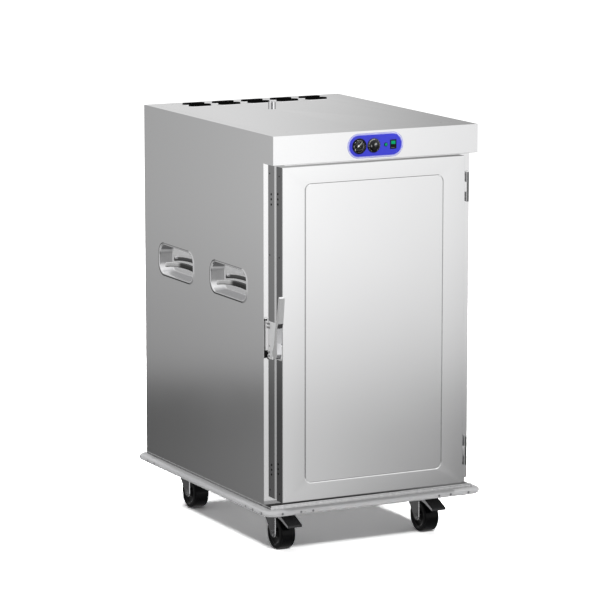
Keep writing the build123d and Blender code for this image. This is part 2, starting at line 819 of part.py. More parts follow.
gauge_bezel = 4.5
gauge_dial = 4.0
gauge_wall = 1.0
gauge_cup = 22.0
gauge_pin_radius = 0.8
gauge_pin = 3.0
glass_thickness = 1.0
glass_depth = 1.0
gauge_at = (gauge_x - half, control_z)
with BuildPart() as gauge_body:
    rod((gauge_at[0], label_face, gauge_at[1]), (0, -1, 0), gauge_radius, gauge_bezel)
    rod((gauge_at[0], label_face, gauge_at[1]), (0, 1, 0), gauge_cup_radius, gauge_cup)
    rod(
        (gauge_at[0], label_face - gauge_bezel, gauge_at[1]), (0, 1, 0), gauge_cup_radius - gauge_wall,
        gauge_bezel + gauge_dial, Mode.SUBTRACT,
    )
    rod((gauge_at[0], label_face + gauge_dial, gauge_at[1]), (0, -1, 0), gauge_pin_radius, gauge_pin)
finish(gauge_body.part, "gauge_body")
with BuildPart() as gauge_glass:
    rod(
        (gauge_at[0], label_face - gauge_bezel + glass_depth, gauge_at[1]), (0, 1, 0),
        gauge_cup_radius - gauge_wall - running_gap, glass_thickness,
    )
finish(gauge_glass.part, "gauge_glass")

needle_angle = 40.0
needle_length = 15.0
needle_tail = 5.0
needle_hub = 2.4
needle_half_widths = (0.9, 0.3)
needle_thickness = 0.8
needle_rise = 1.2
needle_y = label_face + gauge_dial - needle_rise
with BuildPart() as gauge_needle:
    needle_plane = Plane(
        origin=(gauge_at[0], needle_y, gauge_at[1]),
        x_dir=(math.cos(math.radians(needle_angle)), 0, math.sin(math.radians(needle_angle))),
        z_dir=(0, -1, 0),
    )
    with BuildSketch(needle_plane):
        Circle(needle_hub)
        with BuildLine():
            Polyline(
                (-needle_tail, -needle_half_widths[0]),
                (needle_length, -needle_half_widths[1]),
                (needle_length, needle_half_widths[1]),
                (-needle_tail, needle_half_widths[0]),
                close=True,
            )
        make_face()
        Circle(gauge_pin_radius + running_gap, mode=Mode.SUBTRACT)
    extrude(amount=needle_thickness)
finish(gauge_needle.part, "gauge_needle")

knob_skirt = 5.0
knob_height = 19.0
knob_edge = 1.5
knob_grip_width = 13.0
knob_grip_inset = 5.0
knob_grip_angle = 55
knob_draft = 4
knob_shaft = 14.0
knob_at = (knob_x - half, control_z)
knob_base = label_face - face_gap
with BuildPart() as thermostat_knob:
    rod((knob_at[0], knob_base, knob_at[1]), (0, -1, 0), knob_radius, knob_skirt)
    fillet(thermostat_knob.edges().group_by(Axis.Y)[0], knob_edge)
    with BuildSketch(facing(knob_base - knob_skirt)):
        with Locations(knob_at):
            SlotOverall(2 * knob_radius - knob_grip_inset, knob_grip_width, rotation=knob_grip_angle)
    extrude(amount=knob_height - knob_skirt, taper=knob_draft)
    rod((knob_at[0], knob_base, knob_at[1]), (0, 1, 0), knob_shaft_radius, knob_shaft)
finish(thermostat_knob.part, "thermostat_knob")

thermostat_size = (32.0, 28.0, 42.0)
thermostat_bore = 18.0
with BuildPart() as thermostat_body:
    thermostat_y = (fascia_face + skin, fascia_face + skin + thermostat_size[1])
    block(
        (knob_at[0] - thermostat_size[0] / 2, knob_at[0] + thermostat_size[0] / 2),
        thermostat_y,
        (knob_at[1] - thermostat_size[2] / 2, knob_at[1] + thermostat_size[2] / 2),
    )
    rod(
        (knob_at[0], thermostat_y[0], knob_at[1]), (0, 1, 0), knob_shaft_radius + running_gap,
        thermostat_bore, Mode.SUBTRACT,
    )
finish(thermostat_body.part, "thermostat_body")

lamp_at = (lamp_x - half, control_z)
lamp_rim = 1.8
lamp_rim_rise = 1.4
lamp_dome_rise = 2.4
lamp_dome_edge = 2.0
lamp_tail = 22.0
with BuildPart() as indicator_lamp:
    rod((lamp_at[0], label_face, lamp_at[1]), (0, -1, 0), lamp_radius + lamp_rim, lamp_rim_rise)
    rod((lamp_at[0], label_face - lamp_rim_rise, lamp_at[1]), (0, -1, 0), lamp_radius, lamp_dome_rise)
    fillet(indicator_lamp.edges().group_by(Axis.Y)[0], lamp_dome_edge)
    rod((lamp_at[0], label_face, lamp_at[1]), (0, 1, 0), lamp_radius, lamp_tail)
finish(indicator_lamp.part, "indicator_lamp")

rocker_at = (rocker_x - half, control_z)
bezel_rise = 2.0
switch_depth = 24.0
switch_well = 12.0


def rocker_block(width, height, y, mode=Mode.ADD):
    """A box of this width and height round the switch's middle, in the part being made."""
    block(
        (rocker_at[0] - width / 2, rocker_at[0] + width / 2),
        y,
        (rocker_at[1] - height / 2, rocker_at[1] + height / 2),
        mode=mode,
    )


with BuildPart() as rocker_bezel:
    rocker_block(rocker_width, rocker_height, (label_face - bezel_rise, label_face))
    rocker_block(
        rocker_width - 2 * rocker_lip, rocker_height - 2 * rocker_lip, (label_face, label_face + switch_depth)
    )
    well_y = (label_face - bezel_rise, label_face + switch_well)
    rocker_block(bezel_inner_width, bezel_inner_height, well_y, Mode.SUBTRACT)
finish(rocker_bezel.part, "rocker_bezel")

rocker_pivot_depth = 1.0
rocker_pivot = label_face + rocker_pivot_depth
rocker_outline = ((-2.8, 0), (-4.2, 9.8), (2.0, 9.8), (2.0, -9.8), (-4.2, -9.8))
with BuildPart() as rocker_button:
    tilted = Plane(
        origin=(rocker_at[0] - bezel_inner_width / 2 + face_gap, rocker_pivot, rocker_at[1]),
        x_dir=(0, math.cos(math.radians(rocker_swing)), -math.sin(math.radians(rocker_swing))),
        z_dir=(1, 0, 0),
    )
    with BuildSketch(tilted):
        with BuildLine():
            Polyline(*rocker_outline, close=True)
        make_face()
    extrude(amount=bezel_inner_width - 2 * face_gap)
finish(rocker_button.part, "rocker_button")

# Steam pipe from the heated space up through the roof, and the supply gland at the rear
with BuildPart() as steam_vent_pipe:
    pipe_foot = (*pipe_place, space_z[1])
    pipe_length = body_top + pipe_stub - space_z[1]
    rod(pipe_foot, (0, 0, 1), pipe_radius, pipe_length)
    rod(pipe_foot, (0, 0, 1), pipe_radius - pipe_wall, pipe_length, Mode.SUBTRACT)
finish(steam_vent_pipe.part, "steam_vent_pipe")

gland_bore = 5.0
gland_length = 18.0
gland_shank = 20.0
gland_nut_rim = 4.0
gland_nut_height = 7.0
gland_cap_edge = 3.0
with BuildPart() as cable_gland:
    rod((gland_x, rear, gland_z), (0, -1, 0), gland_radius, gland_shank)
    with BuildSketch(Plane(origin=(gland_x, rear, gland_z), x_dir=(1, 0, 0), z_dir=(0, 1, 0))):
        RegularPolygon(gland_radius + gland_nut_rim, 6)
    extrude(amount=gland_nut_height)
    rod((gland_x, rear + gland_nut_height, gland_z), (0, 1, 0), gland_radius, gland_length - gland_nut_height)
    fillet(cable_gland.edges().group_by(Axis.Y)[-1], gland_cap_edge)
    bore_length = gland_length + gland_shank
    rod((gland_x, rear - gland_shank, gland_z), (0, 1, 0), gland_bore, bore_length, Mode.SUBTRACT)
finish(cable_gland.part, "cable_gland")

# Fan motor in the control space, fan wheel and heater under the ceiling, and their guard
motor_foot_size = (104.0, 40.0, 3.0)
motor_edge = 5.0
motor_bore = 30.0
with BuildPart() as fan_motor:
    block(
        (fan_place[0] - motor_foot_size[0] / 2, fan_place[0] + motor_foot_size[0] / 2),
        (fan_place[1] - motor_foot_size[1] / 2, fan_place[1] + motor_foot_size[1] / 2),
        (control_floor, control_floor + motor_foot_size[2]),
    )
    rod((*fan_place, control_floor), (0, 0, 1), motor_radius, motor_height)
    fillet(fan_motor.edges().group_by(Axis.Z)[-1], motor_edge)
    rod((*fan_place, control_floor), (0, 0, 1), fan_shaft_radius + running_gap, motor_bore, Mode.SUBTRACT)
finish(fan_motor.part, "fan_motor")

fan_gap = 12.0
fan_top = space_z[1] - fan_gap
fan_sheet = 1.5
fan_hub_radius = 12.0
blade_inner = 34.0
blade_outer = 66.0
shaft_rise = 26.0
with BuildPart() as fan_wheel:
    rod((*fan_place, fan_top - fan_sheet), (0, 0, 1), fan_radius, fan_sheet)
    rod((*fan_place, fan_top - fan_height), (0, 0, 1), fan_hub_radius, fan_height)
    with BuildSketch(Plane.XY.offset(fan_top - fan_height)) as blades:
        with Locations(fan_place):
            with PolarLocations((blade_outer + blade_inner) / 2, fan_blades):
                Rectangle(blade_outer - blade_inner, fan_sheet)
    extrude(blades.sketch, amount=fan_height - fan_sheet / 2)
    rod((*fan_place, fan_top), (0, 0, 1), fan_shaft_radius, control_floor + shaft_rise - fan_top)
finish(fan_wheel.part, "fan_wheel")

heater_level = fan_top - fan_height / 2
terminal_rise = 12.0
with BuildPart() as heater_element:
    with BuildLine():
        CenterArc(
            (*fan_place, heater_level), heater_ring_radius, terminal_angle / 2 - 90, 360 - terminal_angle
        )
    with BuildSketch(
        Plane(
            origin=(terminals[1][0], terminals[1][1], heater_level),
            x_dir=(0, 0, 1),
            z_dir=(
                math.cos(math.radians(terminal_angle / 2)),
                math.sin(math.radians(terminal_angle / 2)),
                0,
            ),
        )
    ):
        Circle(heater_rod_radius)
    sweep()
    for place in terminals:
        with Locations((place[0], place[1], heater_level)):
            Sphere(heater_rod_radius)
        terminal_top = control_floor + terminal_rise
        rod((*place, heater_level), (0, 0, 1), heater_rod_radius, terminal_top - heater_level)
finish(heater_element.part, "heater_element")

guard_x = (fan_place[0] - guard_half, fan_place[0] + guard_half)
guard_y = (fan_place[1] - guard_half, fan_place[1] + guard_half)
guard_z = (space_z[1] - guard_drop, space_z[1])
guard_strips = 7
guard_strip_pitch = 27.0
guard_strip_width = 15.0
guard_rings = (18.0, 34.0, 50.0)
guard_hole_radius = 3.5
guard_hole_share = 1 / 3
with BuildPart() as guard_plate:
    block(guard_x, guard_y, (guard_z[0], guard_z[0] + liner_sheet))
    with BuildSketch(Plane.XY.offset(guard_z[0])) as inlet:
        with Locations(fan_place):
            for radius in guard_rings:
                with PolarLocations(radius, int(radius * guard_hole_share)):
                    Circle(guard_hole_radius)
    extrude(inlet.sketch, amount=liner_sheet, mode=Mode.SUBTRACT)
guard_parts = [guard_plate.part]
guard_walls_x = ((guard_x[0], guard_x[0] + liner_sheet), (guard_x[1] - liner_sheet, guard_x[1]))
guard_walls_y = ((guard_y[0], guard_y[0] + liner_sheet), (guard_y[1] - liner_sheet, guard_y[1]))
strip_z = (guard_z[0] + liner_sheet, guard_z[1])
for step in range(guard_strips):
    along = (step - (guard_strips - 1) / 2) * guard_strip_pitch - guard_strip_width / 2
    strip_x = (fan_place[0] + along, fan_place[0] + along + guard_strip_width)
    strip_y = (fan_place[1] + along, fan_place[1] + along + guard_strip_width)
    strip_places = [(wall, strip_y) for wall in guard_walls_x]
    strip_places += [(strip_x, wall) for wall in guard_walls_y]
    for wall_x, wall_y in strip_places:
        with BuildPart() as strip:
            block(wall_x, wall_y, strip_z)
        guard_parts.append(strip.part)
group(guard_parts, "fan_guard")

# Rack: four uprights with hook holes, the runners for trays, and three wire shelves
posts = []
for side_x in ((space_x[0], space_x[0] + post_thickness), (space_x[1] - post_thickness, space_x[1])):
    for y in (front + post_inset, space_y[1] - post_inset):
        with BuildPart() as post:
            block(side_x, (y - post_width / 2, y + post_width / 2), space_z)
            if side_x[0] == space_x[0]:
                hollow_x = (side_x[0], side_x[1] - skin)
            else:
                hollow_x = (side_x[0] + skin, side_x[1])
            hollow_y = (y - post_width / 2 + skin, y + post_width / 2 - skin)
            block(hollow_x, hollow_y, space_z, mode=Mode.SUBTRACT)
        posts.append(post.part)
group(posts, "rack_posts")

runners = []
for z in runner_heights:
    for side, x in ((1, rack_x[0]), (-1, rack_x[1])):
        with BuildPart() as runner:
            runner_y = (front + runner_inset, space_y[1] - runner_inset)
            block(sorted((x, x + side * runner_ledge)), runner_y, (z - skin, z))
            block(sorted((x, x + side * skin)), runner_y, (z, z + runner_leg))
        runners.append(runner.part)
group(runners, "tray_runners")

shelf_gap = 1.0
shelf_x = (rack_x[0] + skin + shelf_gap, rack_x[1] - skin - shelf_gap)
shelf_y = (front + shelf_inset, space_y[1] - shelf_inset)
shelf_depth = shelf_y[1] - shelf_y[0]
wire_overlap = 1.0
shelves = []
for level in shelf_levels:
    z = runner_heights[level] + shelf_rod
    with BuildPart() as shelf:
        for x in (shelf_x[0] + shelf_rod, shelf_x[1] - shelf_rod):
            rod((x, shelf_y[0], z), (0, 1, 0), shelf_rod, shelf_depth)
        for y in (shelf_y[0] + shelf_rod, shelf_y[1] - shelf_rod):
            cross_length = shelf_x[1] - shelf_x[0] - 2 * shelf_rod
            rod((shelf_x[0] + shelf_rod, y, z), (1, 0, 0), shelf_cross_rod, cross_length)
        wire_pitch = (shelf_x[1] - shelf_x[0]) / (shelf_wires + 1)
        for index in range(shelf_wires):
            wire_x = shelf_x[0] + wire_pitch * (index + 1)
            wire_start = (wire_x, shelf_y[0] + 2 * shelf_rod - wire_overlap, z)
            rod(wire_start, (0, 1, 0), shelf_wire, shelf_depth - 4 * shelf_rod + 2 * wire_overlap)
    shelves.append(shelf.part)
group(shelves, "wire_shelves")

tray_length = 300.0
tray_depth = 200.0
tray_height = 45.0
tray_corner = 20.0
tray_place = (space_y[0] + space_y[1]) / 2
with BuildPart() as water_tray:
    tray_x = (space_middle - tray_length / 2, space_middle + tray_length / 2)
    tray_y = (tray_place - tray_depth / 2, tray_place + tray_depth / 2)
    tray_z = (space_z[0], space_z[0] + tray_height)
    block(tray_x, tray_y, tray_z)
    fillet(water_tray.edges().filter_by(Axis.Z), tray_corner)
    with BuildSketch(Plane.XY.offset(tray_z[1])) as water:
        with Locations((space_middle, tray_place)):
            RectangleRounded(tray_length - 2 * skin, tray_depth - 2 * skin, tray_corner - skin)
    extrude(water.sketch, amount=-(tray_height - skin), mode=Mode.SUBTRACT)
finish(water_tray.part, "water_tray")

# Castors: mount plate with its pin, swivelling fork with the axle, wheel core, tyre and brake pedal
plate_z = (caster_height - mount_plate_thickness, caster_height)
plate_corner = 6.0
race_radius = 27.0
race_height = 10.0
race_bottom = plate_z[0] - race_height
crown_height = 12.0
crown_rim = 3.0
crown_top = race_bottom - swivel_gap
crown_bottom = crown_top - crown_height
pin_radius = 6.0
pin_gap = 0.3
nut_radius = 10.0
nut_height = 6.0
bolt_head_radius = 6.5
bolt_head_height = 5.0
bolt_length = 13.0
fork_gap = 2.0
fork_inner = tyre_width / 2 + fork_gap
fork_plate = 3.5
axle_radius = 5.0
axle_head = 4.5
axle_head_radius = 9.0
leg_front = 14.0
leg_rear = 71.0
leg_foot = (10.0, 9.8)
leg_rear_drop = 12.0
crown_sheet = 4.0
core_radius = wheel_radius - tyre_thickness
core_inset = 3.0
core_rim = 5.0
core_dish = 8.0
core_hub_radius = 12.0
core_hub_gap = 1.0
tyre_edge = 9.0
pedal_boss = 8.0
pedal_pin = 3.0
pedal_gap = 1.5
pedal_half = fork_inner - pedal_gap
pedal_sheet = 2.5
pedal_tube = 6.0
pedal_outline = ((4.0, 5.5), (-24.0, 2.0), (-75.0, -19.0), (-76.0, -26.0), (-26.0, -10.0), (4.0, -5.5))
pedal_inside = ((4.0, -8.0), (-8.0, 0.5), (-24.0, -1.0), (-72.5, -21.0), (-73.5, -27.0), (-26.0, -12.0))

corner_names = {(-1, 0): "fl", (1, 0): "fr", (-1, 1): "rl", (1, 1): "rr"}
plates = []
caster_bolts = []
for (side, row), corner in corner_names.items():
    cx = side * caster_x
    pin_y = caster_y[row]
    axle_y = pin_y - caster_trail
    with BuildPart() as mount_plate:
        block(
            (cx - mount_plate_width / 2, cx + mount_plate_width / 2),
            (pin_y - mount_plate_depth / 2, pin_y + mount_plate_depth / 2),
            plate_z,
        )
        fillet(mount_plate.edges().filter_by(Axis.Z), plate_corner)
        with Locations((cx, pin_y, plate_z[0])):
            with GridLocations(2 * bolt_x, 2 * bolt_y, 2, 2):
                Cylinder(
                    bolt_radius + hole_clearance, mount_plate_thickness,
                    align=(Align.CENTER, Align.CENTER, Align.MIN), mode=Mode.SUBTRACT,
                )
        rod((cx, pin_y, race_bottom), (0, 0, 1), race_radius, plate_z[0] - race_bottom)
        pin_start = (cx, pin_y, crown_bottom - swivel_gap)
        rod(pin_start, (0, 0, 1), pin_radius, race_bottom - crown_bottom + swivel_gap)
        rod((cx, pin_y, crown_bottom - swivel_gap - nut_height), (0, 0, 1), nut_radius, nut_height)
    plates.append(mount_plate.part)

    with BuildPart() as bolts:
        with Locations((cx, pin_y, plate_z[0] - bolt_head_height)):
            with GridLocations(2 * bolt_x, 2 * bolt_y, 2, 2):
                Cylinder(bolt_head_radius, bolt_head_height, align=(Align.CENTER, Align.CENTER, Align.MIN))
                Cylinder(bolt_radius, bolt_length, align=(Align.CENTER, Align.CENTER, Align.MIN))
    caster_bolts.append(bolts.part)

    with BuildPart() as fork:
        rod((cx, pin_y, crown_bottom), (0, 0, 1), race_radius + crown_rim, crown_height)
        block(
            (cx - fork_inner - fork_plate, cx + fork_inner + fork_plate),
            (axle_y - leg_front, axle_y + leg_rear),
            (crown_bottom, crown_bottom + crown_sheet),
        )
        for leg in (-1, 1):
            leg_x = cx + leg * fork_inner
            with BuildSketch(sideways(leg_x)) as leg_outline:
                with BuildLine():
                    Polyline(
                        (axle_y - leg_front, crown_bottom + crown_sheet),
                        (axle_y - leg_front, wheel_radius),
                        (axle_y + leg_foot[0], wheel_radius - leg_foot[1]),
                        (axle_y + leg_rear, crown_bottom - leg_rear_drop),
                        (axle_y + leg_rear, crown_bottom + crown_sheet),
                        close=True,
                    )
                make_face()
                with Locations((axle_y, wheel_radius)):
                    Circle(leg_front)
            extrude(leg_outline.sketch, amount=leg * fork_plate)
        if row == 0:
            rod(
                (cx - fork_inner, axle_y + pedal_pivot_y, pedal_pivot_z), (1, 0, 0), pedal_pin, 2 * fork_inner
            )
            for leg in (-1, 1):
                start = (cx + leg * fork_inner, axle_y + pedal_pivot_y, pedal_pivot_z)
                rod(start, (leg, 0, 0), pedal_boss, fork_plate)
        rod((cx, pin_y, crown_bottom), (0, 0, 1), pin_radius + pin_gap, crown_height, Mode.SUBTRACT)
        rod(
            (cx - fork_inner - fork_plate, axle_y, wheel_radius), (1, 0, 0), axle_radius + hole_clearance,
            2 * (fork_inner + fork_plate), Mode.SUBTRACT,
        )
    with BuildPart() as axle:
        ends = fork_inner + fork_plate
        rod((cx - ends, axle_y, wheel_radius), (1, 0, 0), axle_radius, 2 * ends)
        for leg in (-1, 1):
            with BuildSketch(sideways(cx + leg * ends)) as head:
                with Locations((axle_y, wheel_radius)):
                    RegularPolygon(axle_head_radius, 6)
            extrude(head.sketch, amount=leg * axle_head)
    group([fork.part, axle.part], "fork_" + corner)

    with BuildPart() as wheel_core:
        core_half = tyre_width / 2 - core_inset
        hub_half = fork_inner - core_hub_gap
        rod((cx - core_half, axle_y, wheel_radius), (1, 0, 0), core_radius, 2 * core_half)
        for leg in (-1, 1):
            start = (cx + leg * core_half, axle_y, wheel_radius)
            rod(start, (-leg, 0, 0), core_radius - core_rim, core_dish, Mode.SUBTRACT)
        hub_end = (cx - hub_half, axle_y, wheel_radius)
        rod(hub_end, (1, 0, 0), core_hub_radius, 2 * hub_half)
        rod(hub_end, (1, 0, 0), axle_radius + running_gap, 2 * hub_half, Mode.SUBTRACT)
    finish(wheel_core.part, "wheel_core_" + corner)

    with BuildPart() as tyre:
        rod((cx - tyre_width / 2, axle_y, wheel_radius), (1, 0, 0), wheel_radius, tyre_width)
        fillet(tyre.edges(), tyre_edge)
        rod(
            (cx - tyre_width / 2, axle_y, wheel_radius), (1, 0, 0), core_radius + running_gap, tyre_width,
            Mode.SUBTRACT,
        )
    finish(tyre.part, "tyre_" + corner)

    if row == 0:
        pivot_y = axle_y + pedal_pivot_y
        with BuildPart() as pedal:
            with BuildSketch(sideways(cx - pedal_half)) as pedal_side:
                with BuildLine():
                    Polyline(*[(pivot_y + y, pedal_pivot_z + z) for y, z in pedal_outline], close=True)
                make_face()
            extrude(pedal_side.sketch, amount=2 * pedal_half)
            with BuildSketch(sideways(cx - pedal_half + pedal_sheet)) as pedal_hollow:
                with BuildLine():
                    Polyline(*[(pivot_y + y, pedal_pivot_z + z) for y, z in pedal_inside], close=True)
                make_face()
            extrude(pedal_hollow.sketch, amount=2 * (pedal_half - pedal_sheet), mode=Mode.SUBTRACT)
            rod((cx - pedal_half, pivot_y, pedal_pivot_z), (1, 0, 0), pedal_tube, 2 * pedal_half)
            rod(
                (cx - pedal_half, pivot_y, pedal_pivot_z), (1, 0, 0), pedal_pin + running_gap, 2 * pedal_half,
                Mode.SUBTRACT,
            )
        finish(pedal.part, "brake_pedal_" + corner)
group(plates, "caster_plates")

# Screws: castor bolts, strip screws, flush cover screws, hinge and strike plate screws
small_heads = []
with BuildPart() as strip_screws:
    for place, outward in bumper_screws:
        rod(screw_point(place, outward, screw_recess + screw_head), outward, screw_radius, screw_head)
small_heads.append(strip_screws.part)
with BuildPart() as flush_screws:
    for x, y in cover_screws:
        rod((x, y, body_top), (0, 0, -1), cover_screw_radius, cover_screw_depth)
small_heads.append(flush_screws.part)
plate_screw_radius = 3.0
plate_screw_rise = 1.2
strike_screw_places = (8.0, 20.0, 95.0, 107.0)
strike_screw_inset = 11.0
hinge_screw_places = (-30.0, 0.0, 30.0)
hinge_screw_inset = 14.0
with BuildPart() as plate_screws:
    for z in strike_screw_places:
        start = (strike_x[0], front - strike_screw_inset, strike_z[0] + z)
        rod(start, (-1, 0, 0), plate_screw_radius, plate_screw_rise)
    for z in hinge_heights:
        for rise in hinge_screw_places:
            start = (hinge_axis[0] + frame_leaf_width - hinge_screw_inset, frame_face - hinge_leaf, z + rise)
            rod(start, (0, -1, 0), plate_screw_radius, plate_screw_rise)
small_heads.append(plate_screws.part)
group(caster_bolts + small_heads, "body_screws")

reach = body_depth + lever_reach + bumper_width
print("size", bumper_length_x, reach, body_top + pipe_stub)
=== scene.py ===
import json
import math

import bmesh
import bpy
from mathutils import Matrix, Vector

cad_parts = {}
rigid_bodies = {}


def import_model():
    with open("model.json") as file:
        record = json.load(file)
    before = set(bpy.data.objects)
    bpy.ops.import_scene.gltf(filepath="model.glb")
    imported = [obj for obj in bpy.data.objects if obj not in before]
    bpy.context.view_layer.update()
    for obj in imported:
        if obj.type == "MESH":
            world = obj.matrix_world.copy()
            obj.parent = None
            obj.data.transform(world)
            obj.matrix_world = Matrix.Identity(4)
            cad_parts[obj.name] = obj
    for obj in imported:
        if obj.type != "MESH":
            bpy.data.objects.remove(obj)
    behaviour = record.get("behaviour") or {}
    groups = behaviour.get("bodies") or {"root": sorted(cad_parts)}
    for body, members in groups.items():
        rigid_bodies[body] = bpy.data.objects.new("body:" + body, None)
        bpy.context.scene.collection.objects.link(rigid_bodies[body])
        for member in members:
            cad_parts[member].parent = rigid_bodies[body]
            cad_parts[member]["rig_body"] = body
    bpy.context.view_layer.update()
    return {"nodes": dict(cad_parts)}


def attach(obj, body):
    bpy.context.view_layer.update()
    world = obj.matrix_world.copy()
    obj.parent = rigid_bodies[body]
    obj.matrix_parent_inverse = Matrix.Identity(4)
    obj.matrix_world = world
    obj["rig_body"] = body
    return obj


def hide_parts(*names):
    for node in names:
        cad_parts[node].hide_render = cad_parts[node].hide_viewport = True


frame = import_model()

cadNodes = frame["nodes"]
mm = 0.001
print("stage 1: frame loaded,", len(cadNodes), "nodes")

# Outer places of the cabinet in millimetres, x to the right, y to the rear, z up
cabinet = {
    "halfWidth": 350.0,
    "front": -394.5,          # plane of the flange round the door opening
    "bottom": 162.0,
    "height": 1134.0,
    "labelOut": 65.9,         # how far things stand out from the flange
    "doorOut": (82.0, 43.0),
    "doorX": (-328.0, 296.0),
    "doorZ": (181.5, 1203.0),
    "frameSide": -334.5,
    "controlHeight": 1251.0,
}


def fromFront(distance):
    return cabinet["front"] + distance


def fromBottom(height):
    return cabinet["bottom"] + height


def addObject(name, data):
    thing = bpy.data.objects.new(name, data)
    bpy.context.scene.collection.objects.link(thing)
    return thing


def newMaterial(name):
    material = bpy.data.materials.new(name)
    material.use_nodes = True
    return material, material.node_tree, material.node_tree.nodes["Principled BSDF"]


def addNode(tree, kind, **values):
    node = tree.nodes.new(kind)
    for key, value in values.items():
        setattr(node, key, value)
    return node


def bindSocket(tree, socket, value):
    if isinstance(value, (int, float)):
        socket.default_value = value
    else:
        tree.links.new(value, socket)


def calc(tree, operation, a, b=0.0):
    node = addNode(tree, "ShaderNodeMath", operation=operation)
    bindSocket(tree, node.inputs[0], a)
    bindSocket(tree, node.inputs[1], b)
    return node.outputs[0]


def sweep(tree, value, start, end, low, high, kind="SMOOTHSTEP"):
    # goes from low to high while the value goes from start to end
    node = addNode(tree, "ShaderNodeMapRange", interpolation_type=kind)
    bindSocket(tree, node.inputs["Value"], value)
    for name, number in (("From Min", start), ("From Max", end), ("To Min", low), ("To Max", high)):
        bindSocket(tree, node.inputs[name], number)
    return node.outputs["Result"]


def seenRays(tree):
    # 1 for camera, mirror and glass rays, 0 for the rest
    path = addNode(tree, "ShaderNodeLightPath")
    mirror = calc(tree, "MAXIMUM", path.outputs["Is Camera Ray"], path.outputs["Is Glossy Ray"])
    return calc(tree, "MAXIMUM", mirror, path.outputs["Is Transmission Ray"])


def objectPlace(tree):
    return addNode(tree, "ShaderNodeTexCoord").outputs["Object"]


def greyColour(tree, value, target):
    grey = addNode(tree, "ShaderNodeCombineColor")
    for channel in ("Red", "Green", "Blue"):
        tree.links.new(value, grey.inputs[channel])
    tree.links.new(grey.outputs["Color"], target)


def noise(tree, vector, **values):
    node = addNode(tree, "ShaderNodeTexNoise")
    for key, value in values.items():
        node.inputs[key].default_value = value
    tree.links.new(vector, node.inputs["Vector"])
    return node.outputs["Fac"]


def toneRamp(tree, value, spots, dark, light, target):
    # dark below the first spot of the ramp, light above the second
    ramp = addNode(tree, "ShaderNodeValToRGB")
    for index, (spot, colour) in enumerate(zip(spots, (dark, light))):
        ramp.color_ramp.elements[index].position = spot
        ramp.color_ramp.elements[index].color = (*colour, 1)
    tree.links.new(value, ramp.inputs["Fac"])
    tree.links.new(ramp.outputs["Color"], target)


bumpDepth = 0.0002      # metres


def coverShader(tree, shader, look, grain, patches, spots, spread):
    # colour and bump follow the grain, roughness follows the patches
    dark = [c * (1 - look["vary"]) for c in look["colour"]]
    toneRamp(tree, grain, spots, dark, look["colour"], shader.inputs["Base Color"])
    low, high = look["roughness"] * (1 - spread), look["roughness"] * (1 + spread)
    tree.links.new(sweep(tree, patches, 0, 1, low, high, "LINEAR"), shader.inputs["Roughness"])
    bump = addNode(tree, "ShaderNodeBump")
    bump.inputs["Strength"].default_value = look["bump"]
    bump.inputs["Distance"].default_value = bumpDepth
    tree.links.new(grain, bump.inputs["Height"])
    tree.links.new(bump.outputs["Normal"], shader.inputs["Normal"])


def brushedSteel(name, look):
    material, tree, shader = newMaterial(name)
    shader.inputs["Metallic"].default_value = look.get("metallic", 1.0)
    place = objectPlace(tree)
    lay = addNode(tree, "ShaderNodeMapping")
    lay.inputs["Scale"].default_value = look["grain"]
    tree.links.new(place, lay.inputs["Vector"])
    grain = noise(tree, lay.outputs["Vector"], Scale=1.0, Detail=4.0, Roughness=0.65)
    clouds = noise(tree, place, Scale=3.0, Detail=2.0)
    coverShader(tree, shader, look, grain, clouds, (0.3, 0.7), 0.15)
    return material


def moulded(name, look):
    look = {"vary": 0.1, "bump": 0.05, "scale": 900.0, "specular": 0.5, **look}
    material, tree, shader = newMaterial(name)
    shader.inputs["Specular IOR Level"].default_value = look["specular"]
    shader.inputs["IOR"].default_value = 1.45
    if "glow" in look:
        shader.inputs["Emission Color"].default_value = (*look["glow"], 1)
        shader.inputs["Emission Strength"].default_value = look["glowStrength"]
    place = objectPlace(tree)
    speck = noise(tree, place, Scale=look["scale"], Detail=3.0)
    coverShader(tree, shader, look, speck, speck, (0.35, 0.65), 0.1)
    return material


